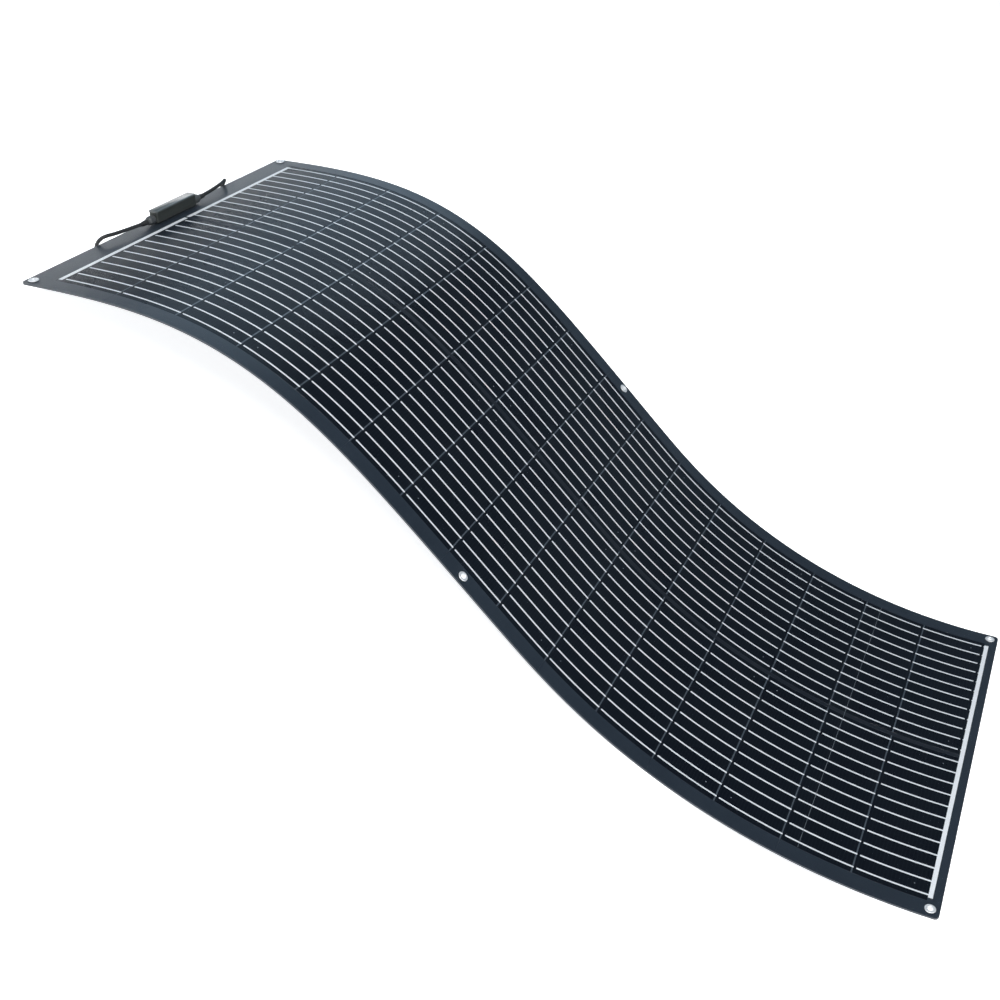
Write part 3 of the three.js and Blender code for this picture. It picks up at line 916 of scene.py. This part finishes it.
# %% [markdown]
# ## Backsheet and film
#
# The backsheet is a stiff fibre laminate with a shallow pocket for the cells. The film covers all of
# it. Both have round holes where the eyelets go through; a boolean cut makes them, because a hole is
# the one shape that a sweep can't make. JOINT_GAP keeps each section a hair short of its flex line.

# %% Make the backsheet and the film
HALF = WIDTH / 2
POCKET = CELL_WIDTH + COLUMN_GAP / 2 + 0.0004
POCKET_PAST_BAR = 0.0003
JOINT_GAP = 0.00005
HOLE_RADIUS = 0.0031
HOLE_SIDES = 32
HOLE_DEPTH = 0.02


def back_outline():
    low, high = BACK
    edge = 0.0004
    return [
        (-HALF + edge, low),
        (HALF - edge, low),
        (HALF, low + edge),
        (HALF, high),
        (POCKET, high),
        (POCKET, POCKET_FLOOR),
        (-POCKET, POCKET_FLOOR),
        (-POCKET, high),
        (-HALF, high),
        (-HALF, low + edge),
    ]


def solid_outline():
    return [point for point in back_outline() if abs(point[0]) > POCKET]


def film_outline():
    low, high = FILM
    edge = 0.00025
    return [
        (-HALF, low),
        (HALF, low),
        (HALF, high - edge),
        (HALF - edge, high),
        (-HALF + edge, high),
        (-HALF, high - edge),
    ]


def combined(name, base, others, operation):
    """Booleans a list of meshes into, or out of, a base mesh."""
    work = bpy.data.objects.new("work", base)
    bpy.context.scene.collection.objects.link(work)
    tools = []
    for n, other in enumerate(others):
        tool = bpy.data.objects.new(f"tool_{n}", other)
        bpy.context.scene.collection.objects.link(tool)
        modifier = work.modifiers.new(f"step_{n}", "BOOLEAN")
        modifier.object = tool
        modifier.operation = operation
        modifier.solver = "EXACT"
        tools.append(tool)
    graph = bpy.context.evaluated_depsgraph_get()
    result = bpy.data.meshes.new_from_object(work.evaluated_get(graph))
    for item in (work, *tools):
        bpy.data.objects.remove(item)
    result.name = name
    return tidy(result)


def bored(name, mesh, holes):
    """The mesh with a round hole cut square through it at each (along, across) place."""
    if not holes:
        return tidy(mesh)
    bm = bmesh.new()
    for along, across in holes:
        bmesh.ops.create_cone(
            bm,
            segments=HOLE_SIDES,
            radius1=HOLE_RADIUS,
            radius2=HOLE_RADIUS,
            depth=HOLE_DEPTH,
            cap_ends=True,
            matrix=seat(along, across),
        )
    cutter = bpy.data.meshes.new("cutter")
    bm.to_mesh(cutter)
    bm.free()
    return combined(name, mesh, [cutter], "DIFFERENCE")


def eyelet_holes(number):
    holes = []
    for along, section in EYELETS.values():
        if section == number:
            holes += [(along, side * (HALF - EYELET_INSET)) for side in (-1, 1)]
    return holes


def make_section(number):
    start, end = section_ends(number)
    first = start + (JOINT_GAP if number > 1 else 0)
    last = end - (JOINT_GAP if number < SECTIONS else 0)
    body = f"section_{number}"
    parts = []
    pocket_from = max(first, BAR_AT[0] - BAR_WIDTH / 2 - POCKET_PAST_BAR)
    pocket_to = min(last, BAR_AT[1] + BAR_WIDTH / 2 + POCKET_PAST_BAR)
    if pocket_from > first:
        parts.append(swept("margin", solid_outline(), first, pocket_from, True))
    parts.append(swept("middle", back_outline(), pocket_from, pocket_to))
    if pocket_to < last:
        parts.append(swept("margin", solid_outline(), pocket_to, last, True))
    holes = eyelet_holes(number)
    laminate = merged("laminate", [bored("part", part, holes) for part in parts])
    back = add_piece(f"laminate_{number}", laminate, LAMINATE, body, f"backsheet_{number}")
    flatten(back, number, sum(BACK) / 2)
    film = bored("film", swept("film", film_outline(), first, last, True), holes)
    skin = add_piece(f"film_{number}", film, CLEAR, body, f"front_film_{number}")
    flatten(skin, number, sum(FILM) / 2)
    return back, skin


for number in range(1, SECTIONS + 1):
    back, skin = make_section(number)
    print(back.name, len(back.data.polygons), skin.name, len(skin.data.polygons))

# %% [markdown]
# ## Cells
#
# Each cell is a third of a square wafer, laid with its long side across the sheet. The cells of one
# column and one section are made as a single piece, since they ride together.

# %% Make the cells
FIRST_CELL_INSET = 0.0011


def section_rows(number):
    start, end = section_ends(number)
    return [row for row in range(ROWS) if start - 1e-6 <= BOX_MARGIN + row * ROW < end - ROW / 2]


def make_cells(number, name, side):
    meshes = []
    middle = side * COLUMN_CENTRE
    for row in section_rows(number):
        start = BOX_MARGIN + row * ROW + (FIRST_CELL_INSET if row == 0 else GAP / 2)
        end = BOX_MARGIN + (row + 1) * ROW - GAP / 2
        outline = strip_section(middle - CELL_WIDTH / 2, middle + CELL_WIDTH / 2, CELLS)
        meshes.append(swept("cell", outline, start, end))
    mesh = merged("cells", meshes)
    node = f"{name}_cells_{number}"
    piece = add_piece(f"{name}_silicon_{number}", mesh, SILICON, f"section_{number}", node)
    flatten(piece, number, sum(CELLS) / 2)


for number in range(1, SECTIONS + 1):
    for name, side in (("near", -1), ("far", 1)):
        make_cells(number, name, side)
print("cells:", ROWS * 2)

# %% [markdown]
# ## Filler in the cell gaps
#
# The clear resin that holds the cells wells up in the 1 mm gap between two rows, creeps a little over
# their edges and sets cloudy, so each gap reads as a fine pale line. Where the sheet flexes, each
# section has its own half. A darker resin fills the seam between the two columns.

# %% Make the fillers
FILLER_HEIGHTS = (-0.0009, -0.00066)
FILLER_EDGE = 0.00005
FILLER_WIDTH = 0.0015
SEAM_HALF = COLUMN_GAP / 2 - 0.0001


def add_resin(name, number, meshes, finish):
    mesh = merged(name, meshes)
    piece = add_piece(f"{name}_{number}", mesh, finish, f"section_{number}", slot="backsheet")
    flatten(piece, number, sum(FILLER_HEIGHTS) / 2)


def make_filler(number):
    start, end = section_ends(number)
    columns = []
    for side in (-1, 1):
        left = side * COLUMN_CENTRE - CELL_WIDTH / 2
        columns.append(strip_section(left, left + CELL_WIDTH, FILLER_HEIGHTS, FILLER_EDGE))
    lines = []
    for row in range(1, ROWS):
        middle = BOX_MARGIN + row * ROW
        low = max(middle - FILLER_WIDTH / 2, start + JOINT_GAP)
        high = min(middle + FILLER_WIDTH / 2, end - JOINT_GAP)
        if high > low:
            lines += [swept("line", outline, low, high) for outline in columns]
    add_resin("gap_filler", number, lines, FILLER)
    seam = strip_section(-SEAM_HALF, SEAM_HALF, FILLER_HEIGHTS, FILLER_EDGE)
    low = max(start + JOINT_GAP, BOX_MARGIN)
    high = min(end - JOINT_GAP, LENGTH - TAIL_MARGIN)
    add_resin("seam_filler", number, [swept("seam", seam, low, high)], SEAM)


for number in range(1, SECTIONS + 1):
    make_filler(number)
print("gap lines:", ROWS - 1)

# %% [markdown]
# ## Crease in the film
#
# A hairline crease crosses the film near the tail end. It is a strip 0.3 mm wide that stands a
# fiftieth of a millimetre out of the film.

# %% Make the crease
CREASE_ROW = 13.25
CREASE_FROM = BOX_MARGIN + CREASE_ROW * ROW
CREASE_WIDTH = 0.0003
CREASE_REACH = COLUMN_CENTRE * 1.97
CREASE_HEIGHTS = (-0.00002, 0.00002)
CREASE_EDGE = 0.00001

outline = strip_section(-CREASE_REACH, CREASE_REACH, CREASE_HEIGHTS, CREASE_EDGE)
crease = swept("crease", outline, CREASE_FROM, CREASE_FROM + CREASE_WIDTH)
crease_piece = add_piece("film_crease", crease, DOT, f"section_{SECTIONS}", slot="ribbon")
flatten(crease_piece, SECTIONS, 0.0)
print("crease at", round(CREASE_FROM, 4))

# %% [markdown]
# ## Ribbons with Geometry Nodes
#
# Twelve tinned ribbons run along each column and join its cells in series. In the near column each
# ribbon crosses the gap at its tail side and breaks off just past it; the far column is the mirror of
# that. LAP is how far a ribbon reaches past the middle of the gap, and BREAK is the clear length
# before the next one starts. The routes are plain edges; a node tree turns every edge chain into a
# flat ribbon.

# %% Make the ribbons
BREAK = 0.0027
LAP = 0.0008
RIBBON_LEVEL = CELLS[1] + 0.00012
RIBBON_THICKNESS = 0.0002
SHORTEST_RIBBON = 0.0002


def ribbon_runs(column):
    """Start and end of each ribbon piece along one column, from the box end."""
    box_bar, tail_bar = BAR_AT
    runs = []
    for row in range(ROWS):
        start = BOX_MARGIN + row * ROW
        end = start + ROW
        if column == "near":
            runs.append((start + LAP + BREAK, tail_bar if row == ROWS - 1 else end + LAP))
        else:
            runs.append((box_bar if row == 0 else start - LAP, end - LAP - BREAK))
    if column == "near":
        runs.append((box_bar, BOX_MARGIN + LAP))
    else:
        runs.append((LENGTH - TAIL_MARGIN - LAP, tail_bar))
    return runs


def clipped(runs, start, end):
    """The parts of the runs that lie between start and end, without any too short to see."""
    inside = []
    for low, high in runs:
        low = max(low, start)
        high = min(high, end)
        if high - low > SHORTEST_RIBBON:
            inside.append((low, high))
    return inside


def ribbon_lines(number):
    """Edge chains down the middle of every ribbon piece of a section."""
    start, end = section_ends(number)
    points = []
    edges = []
    for column, side in (("near", -1), ("far", 1)):
        for n in range(RIBBONS):
            across = side * COLUMN_CENTRE + (n - (RIBBONS - 1) / 2) * RIBBON_PITCH
            for low, high in clipped(ribbon_runs(column), start, end):
                marks = steps_between(low, high)
                first = len(points)
                points += [spot(mark, across, RIBBON_LEVEL) for mark in marks]
                edges += [(first + k, first + k + 1) for k in range(len(marks) - 1)]
    mesh = bpy.data.meshes.new("ribbon_lines")
    mesh.from_pydata([tuple(p) for p in points], edges, [])
    return mesh


def start_tree(name, *sizes):
    """A node tree that takes a geometry, the named sizes and a material, and gives one result."""
    tree = bpy.data.node_groups.new(name, "GeometryNodeTree")
    face = tree.interface
    face.new_socket("Geometry", in_out="INPUT", socket_type="NodeSocketGeometry")
    for size in sizes:
        face.new_socket(size, in_out="INPUT", socket_type="NodeSocketFloat")
    face.new_socket("Material", in_out="INPUT", socket_type="NodeSocketMaterial")
    face.new_socket("Result", in_out="OUTPUT", socket_type="NodeSocketGeometry")
    return tree, tree.nodes.new("NodeGroupInput")


def end_tree(tree, given, last):
    """Ends a tree: its instances are made real, get the material and become the result."""
    link = tree.links.new
    realize = tree.nodes.new("GeometryNodeRealizeInstances")
    paint = tree.nodes.new("GeometryNodeSetMaterial")
    result = tree.nodes.new("NodeGroupOutput")
    link(last, realize.inputs["Geometry"])
    link(realize.outputs["Geometry"], paint.inputs["Geometry"])
    link(given.outputs["Material"], paint.inputs["Material"])
    link(paint.outputs["Geometry"], result.inputs["Result"])


def ribbon_tree():
    tree, given = start_tree("flat_ribbons", "Width", "Thickness")
    nodes = tree.nodes
    link = tree.links.new
    chains = nodes.new("GeometryNodeMeshToCurve")
    upright = nodes.new("GeometryNodeSetCurveNormal")
    upright.mode = "Z_UP"
    profile = nodes.new("GeometryNodeCurvePrimitiveQuadrilateral")
    sweep = nodes.new("GeometryNodeCurveToMesh")
    sweep.inputs["Fill Caps"].default_value = True
    link(given.outputs["Geometry"], chains.inputs["Mesh"])
    link(chains.outputs["Curve"], upright.inputs["Curve"])
    link(given.outputs["Width"], profile.inputs["Width"])
    link(given.outputs["Thickness"], profile.inputs["Height"])
    link(upright.outputs["Curve"], sweep.inputs["Curve"])
    link(profile.outputs["Curve"], sweep.inputs["Profile Curve"])
    end_tree(tree, given, sweep.outputs["Mesh"])
    return tree


def socket_of(tree, name):
    return next(item.identifier for item in tree.interface.items_tree if item.name == name)


def through_nodes(mesh, tree, **values):
    """Runs a mesh through a node tree and gives the resulting mesh."""
    work = bpy.data.objects.new("work", mesh)
    bpy.context.scene.collection.objects.link(work)
    modifier = work.modifiers.new("nodes", "NODES")
    modifier.node_group = tree
    for key, value in values.items():
        modifier[socket_of(tree, key)] = value
    graph = bpy.context.evaluated_depsgraph_get()
    result = bpy.data.meshes.new_from_object(work.evaluated_get(graph))
    bpy.data.objects.remove(work)
    return result


RIBBON_TREE = ribbon_tree()
for number in range(1, SECTIONS + 1):
    lines = ribbon_lines(number)
    given = {"Width": RIBBON_WIDTH, "Thickness": RIBBON_THICKNESS, "Material": TINNED}
    mesh = through_nodes(lines, RIBBON_TREE, **given)
    piece = add_piece(f"ribbons_{number}", shade(mesh), TINNED, f"section_{number}", slot="ribbon")
    flatten(piece, number, RIBBON_LEVEL)
    size = [round(v * 1000, 2) for v in piece.dimensions]
    print(piece.name, len(mesh.polygons), size)

# %% [markdown]
# ## Bars that collect the ribbons
#
# At the box end each column has a bar of its own, because the string starts in one column and ends
# in the other. At the tail one bar carries the current across.

# %% Make the bars
BAR_REACH = COLUMN_CENTRE + CELL_WIDTH / 2 - 0.004
BAR_START = 0.0022
BAR_EDGE = 0.0001
BAR_HEIGHTS = (CELLS[0], RIBBON_LEVEL + RIBBON_THICKNESS / 2)


def make_bar(name, along, left, right, number, node):
    outline = strip_section(left, right, BAR_HEIGHTS, BAR_EDGE)
    mesh = tidy(swept("bar", outline, along - BAR_WIDTH / 2, along + BAR_WIDTH / 2))
    flatten(add_piece(name, mesh, BAR, f"section_{number}", node), number, RIBBON_LEVEL)


make_bar("bar_near", BAR_AT[0], -BAR_REACH, -BAR_START, 1, "box_end_bar_near")
make_bar("bar_far", BAR_AT[0], BAR_START, BAR_REACH, 1, "box_end_bar_far")
make_bar("bar_tail", BAR_AT[1], -BAR_REACH, BAR_REACH, SECTIONS, "tail_end_bar")
print(f"bars reach {BAR_REACH * 1000:.0f} mm each way")

# %% [markdown]
# ## Alignment dots
#
# Small dull dots sit beside every third gap, between the last two ribbons on each side of a column. A
# node tree puts one small disc on each point of a mesh, and an attribute tilts it with the sheet.

# %% Make the dots
DOT_RADIUS = 0.0006
DOT_THICKNESS = 0.0002
DOT_SIDES = 12
DOT_STEP = RIBBONS / 2 - 1
DOT_ROWS = [2.8, 3.2, 5.8, 6.2, 8.8, 9.2, 11.8, 12.2, 14.8]


def dot_tree():
    tree, given = start_tree("dots", "Radius", "Thickness")
    nodes = tree.nodes
    link = tree.links.new
    spots = nodes.new("GeometryNodeMeshToPoints")
    disc = nodes.new("GeometryNodeMeshCylinder")
    disc.inputs["Vertices"].default_value = DOT_SIDES
    tilt = nodes.new("GeometryNodeInputNamedAttribute")
    tilt.data_type = "FLOAT_VECTOR"
    tilt.inputs["Name"].default_value = "tilt"
    place = nodes.new("GeometryNodeInstanceOnPoints")
    link(given.outputs["Geometry"], spots.inputs["Mesh"])
    link(spots.outputs["Points"], place.inputs["Points"])
    link(given.outputs["Radius"], disc.inputs["Radius"])
    link(given.outputs["Thickness"], disc.inputs["Depth"])
    link(disc.outputs["Mesh"], place.inputs["Instance"])
    link(tilt.outputs["Attribute"], place.inputs["Rotation"])
    end_tree(tree, given, place.outputs["Instances"])
    return tree


def dot_points(number):
    start, end = section_ends(number)
    places = []
    tilts = []
    for row in DOT_ROWS:
        along = BOX_MARGIN + row * ROW
        if start < along < end:
            for side in (-1, 1):
                for step in (-DOT_STEP, DOT_STEP):
                    across = side * COLUMN_CENTRE + step * RIBBON_PITCH
                    places.append(spot(along, across, RIBBON_LEVEL))
                    tilts.append((0, -on_wave(along)[2], 0))
    mesh = bpy.data.meshes.new("dot_points")
    mesh.from_pydata([tuple(p) for p in places], [], [])
    values = mesh.attributes.new("tilt", "FLOAT_VECTOR", "POINT")
    values.data.foreach_set("vector", [v for tilt in tilts for v in tilt])
    return mesh


DOT_TREE = dot_tree()
for number in range(1, SECTIONS + 1):
    spots = dot_points(number)
    if len(spots.vertices):
        given = {"Radius": DOT_RADIUS, "Thickness": DOT_THICKNESS, "Material": DOT}
        mesh = through_nodes(spots, DOT_TREE, **given)
        dots = add_piece(f"dots_{number}", shade(mesh), DOT, f"section_{number}", slot="ribbon")
        flatten(dots, number, RIBBON_LEVEL)
print("dots on rows", DOT_ROWS)

# %% [markdown]
# ## Eyelets
#
# A nickel-plated ring is crimped through the laminate on a washer. Its profile is a rolled flange on
# the front, a barrel through the hole, and a curl on the back.

# %% Make the eyelets
EYELET_BORE = 0.0025
EYELET_BARREL = 0.0030
EYELET_FLANGE = 0.00525


def arc(centre, radius, start, end, steps):
    points = []
    for n in range(steps + 1):
        angle = math.radians(start + (end - start) * n / steps)
        points.append((centre[0] + radius * math.cos(angle), centre[1] + radius * math.sin(angle)))
    return points


def eyelet_profile():
    low = BACK[0] - 0.0012
    front = [
        (EYELET_BORE, -0.0004),
        *arc((EYELET_BORE + 0.0009, 0.0001), 0.0009, 180, 90, 6),
        (EYELET_BORE + 0.0016, 0.0010),
        *arc((EYELET_FLANGE - 0.0007, 0.0003), 0.0007, 80, 0, 6),
        (EYELET_FLANGE, 0.00005),
        (EYELET_BARREL, 0.00005),
    ]
    back = [
        (EYELET_BARREL, low + 0.0001),
        (EYELET_FLANGE - 0.0010, low + 0.0001),
        *arc((EYELET_FLANGE - 0.0014, low - 0.0002), 0.0004, 40, -90, 5),
        *arc((EYELET_BORE + 0.0006, low - 0.0001), 0.0006, -90, -180, 5),
    ]
    return [*front, *back, front[0]]


def washer_profile():
    low = BACK[0] - 0.0009
    high = BACK[0] - 0.0002
    inner = 0.0033
    outer = EYELET_FLANGE
    edge = 0.0001
    return [
        (inner, low),
        (outer - edge, low),
        (outer, low + edge),
        (outer, high - edge),
        (outer - edge, high),
        (inner, high),
        (inner, low),
    ]


for place, (along, number) in EYELETS.items():
    for name, side in (("near", -1), ("far", 1)):
        stand = seat(along, side * (HALF - EYELET_INSET))
        body = f"section_{number}"
        ring = moved(turned("eyelet", eyelet_profile()), stand)
        add_piece(f"ring_{place}_{name}", ring, NICKEL, body, f"eyelet_{place}_{name}")
        disc = moved(turned("washer", washer_profile()), stand)
        add_piece(f"disc_{place}_{name}", disc, NICKEL, body, f"washer_{place}_{name}")
print("eyelets:", len(EYELETS) * 2)

# %% [markdown]
# ## Moulded blocks
#
# The junction box is a long slim tray glued on the film, with a snap-on lid. Moulded parts never have
# sharp edges, so a block is a stack of round-cornered outlines, and where its top shows they draw in.

# %% Rounded blocks
CORNER_STEPS = 6


def rounded_outline(width, depth, radius):
    x = width / 2 - radius
    y = depth / 2 - radius
    corners = [((x, y), 0), ((-x, y), 90), ((-x, -y), 180), ((x, -y), 270)]
    points = []
    for centre, start in corners:
        points += arc(centre, radius, start, start + 90, CORNER_STEPS)
    return points


def stacked(name, levels):
    """A closed solid from outlines at rising heights: (width, depth, radius, height) for each."""
    points = []
    for width, depth, radius, height in levels:
        points += [(x, y, height) for x, y in rounded_outline(width, depth, radius)]
    count = len(points) // len(levels)
    faces = []
    for level in range(len(levels) - 1):
        for k in range(count):
            j = (k + 1) % count
            low = level * count
            faces.append((low + k, low + j, low + count + j, low + count + k))
    faces.append(tuple(range(count))[::-1])
    faces.append(tuple(range(len(points) - count, len(points))))
    return tidy(mesh_from(name, points, faces))


print("points on an outline:", len(rounded_outline(BOX_WIDTH, BOX_LENGTH, CORNER)))

# %% [markdown]
# ## Tray of the junction box
#
# The tray is hollow, with a shallow step cut inside its rim. A stub ringed like a thread stands out of
# each end for the gland nut, and the lead runs in through a bore. Each of these is a block or a turned
# piece of its own, and booleans put them together.

# %% Make the tray
BASE_LOW = 0.0014
LID_LOW = BOX_HEIGHT - 0.0018
BASE_HIGH = LID_LOW - 0.0003
WALL = 0.0016
ABOVE_BOX = 0.02
INSIDE_WIDTH = BOX_WIDTH - 2 * WALL
INSIDE_LENGTH = BOX_LENGTH - 2 * WALL
STUB_THREADS = 6
STUB_PITCH = 0.001
STUB_CREST = 0.0035
STUB_ROOT = 0.0032
STUB_BORE = LEAD / 2 + 0.0003
BORE_OVERRUN = 0.003


def box_base_mesh():
    tray = stacked(
        "tray",
        [
            (BOX_WIDTH + 0.0006, BOX_LENGTH, 0.0022, BASE_LOW),
            (BOX_WIDTH + 0.0006, BOX_LENGTH, 0.0022, BASE_LOW + 0.0006),
            (BOX_WIDTH + 0.0002, BOX_LENGTH, 0.0021, BASE_LOW + 0.0012),
            (BOX_WIDTH - 0.0002, BOX_LENGTH - 0.0004, 0.0020, BASE_HIGH),
        ],
    )
    inside = stacked(
        "inside",
        [
            (INSIDE_WIDTH, INSIDE_LENGTH, 0.001, BASE_LOW + WALL),
            (INSIDE_WIDTH, INSIDE_LENGTH, 0.001, ABOVE_BOX),
        ],
    )
    step = stacked(
        "step",
        [
            (BOX_WIDTH - WALL + 0.0002, BOX_LENGTH - WALL + 0.0002, 0.0014, BASE_HIGH - 0.0008),
            (BOX_WIDTH - WALL + 0.0002, BOX_LENGTH - WALL + 0.0002, 0.0014, ABOVE_BOX),
        ],
    )
    low = BOX_LENGTH / 2 - 0.001
    high = BOX_LENGTH / 2 + 0.007
    stub = [(0, low), (STUB_CREST, low)]
    for n in range(STUB_THREADS):
        stub.append((STUB_CREST, low + 0.0018 + n * STUB_PITCH))
        stub.append((STUB_ROOT, low + 0.0023 + n * STUB_PITCH))
    stub += [(STUB_ROOT, high), (0, high)]
    bore = [(0, low - BORE_OVERRUN), (STUB_BORE, low - BORE_OVERRUN)]
    bore += [(STUB_BORE, high + BORE_OVERRUN), (0, high + BORE_OVERRUN)]
    stubs = []
    bores = []
    for side in (-1, 1):
        axis = Matrix.Translation((0, 0, GLAND_HEIGHT)) @ tipped(side)
        stubs.append(moved(turned("stub", stub), axis))
        bores.append(moved(turned("bore", bore), axis))
    whole = combined("tray", tray, stubs, "UNION")
    return combined("base", whole, [inside, step, *bores], "DIFFERENCE")


on_box = seat(BOX_AT, BOX_ACROSS)
tray = add_piece("junction_tray", moved(box_base_mesh(), on_box), HOUSING, "section_1", "box_base")
print(tray.name, len(tray.data.polygons), "faces")

# %% [markdown]
# ## Lid of the junction box
#
# The lid is a thin plate with a hollow lip under it, which goes down inside the tray's walls. Its top
# edge has a soft bevel that catches the light.

# %% Make the lid
def lid_mesh():
    plate = stacked(
        "plate",
        [
            (BOX_WIDTH + 0.0008, BOX_LENGTH + 0.0004, 0.0023, LID_LOW),
            (BOX_WIDTH + 0.0008, BOX_LENGTH + 0.0004, 0.0023, BOX_HEIGHT - 0.0009),
            (BOX_WIDTH + 0.0004, BOX_LENGTH, 0.0021, BOX_HEIGHT - 0.0003),
            (BOX_WIDTH - 0.0006, BOX_LENGTH - 0.0010, 0.0017, BOX_HEIGHT),
        ],
    )
    lip = stacked(
        "lip",
        [
            (INSIDE_WIDTH - 0.0006, INSIDE_LENGTH - 0.0006, 0.0008, LID_LOW - 0.0016),
            (INSIDE_WIDTH - 0.0006, INSIDE_LENGTH - 0.0006, 0.0008, LID_LOW + 0.0005),
        ],
    )
    hollow = stacked(
        "hollow",
        [
            (INSIDE_WIDTH - 0.0026, INSIDE_LENGTH - 0.0026, 0.0005, LID_LOW - 0.003),
            (INSIDE_WIDTH - 0.0026, INSIDE_LENGTH - 0.0026, 0.0005, LID_LOW),
        ],
    )
    return combined("lid", combined("lid", plate, [lip], "UNION"), [hollow], "DIFFERENCE")


# The lid's finish is lighter than the tray's, with a painted sheen in its colour.
lid = add_piece("junction_lid", moved(lid_mesh(), on_box), LID_WITH_PAINTED_SHEEN, "lid", "box_lid")
print(lid.name, len(lid.data.polygons), "faces")

# %% [markdown]
# ## Gland nuts
#
# A domed nut screws onto each stub, and the lead comes out through its dome. It is a turned profile,
# and its grip ribs are made by drawing the wall in, deeper and shallower, round the axis.

# %% Make the gland nuts
NUT_RIBS = 16
NUT_RIB_DEPTH = 0.00035
NUT_WALL_FROM = 0.0044
NUT_WALL_TOP = 0.0070
NUT_OFF_BOX = 0.0006


def nut_mesh():
    profile = [
        (0.0038, 0.0),
        (0.0046, 0.0),
        (0.0049, 0.0003),
        (0.0049, 0.0068),
        (0.0048, 0.0072),
        *arc((0.0024, 0.0072), 0.0024, 0, 60, 5),
        (0.0031, 0.0110),
        (0.00265, 0.0110),
        (0.00265, 0.0075),
        (0.0038, 0.0075),
        (0.0038, 0.0),
    ]
    mesh = turned("nut", profile, 96)
    for vertex in mesh.vertices:
        x, y, z = vertex.co
        radius = math.hypot(x, y)
        if radius > NUT_WALL_FROM and z < NUT_WALL_TOP:
            dip = NUT_RIB_DEPTH * (0.5 - 0.5 * math.cos(NUT_RIBS * math.atan2(y, x)))
            vertex.co = (x * (1 - dip / radius), y * (1 - dip / radius), z)
    return mesh


for name, side in (("near", -1), ("far", 1)):
    place = out_of_gland(side) @ Matrix.Translation((0, 0, BOX_LENGTH / 2 + NUT_OFF_BOX))
    add_piece(f"nut_{name}", moved(nut_mesh(), place), NUT, f"gland_{name}", f"gland_nut_{name}")
print("ribs on a nut:", NUT_RIBS)

# %% [markdown]
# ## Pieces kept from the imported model
#
# The glue pad lies under the box, and the seal and the terminal block lie inside it. Their shapes are
# simple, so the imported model's own pieces stay and only get a finish.

# %% Finish the kept pieces
for node, finish in (("box_pad", RUBBER), ("box_seal", RUBBER), ("terminal_block", BRASS)):
    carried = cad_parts[node]
    carried.data.materials.clear()
    carried.data.materials.append(finish)
print("packed pieces kept: box_pad, box_seal, terminal_block")
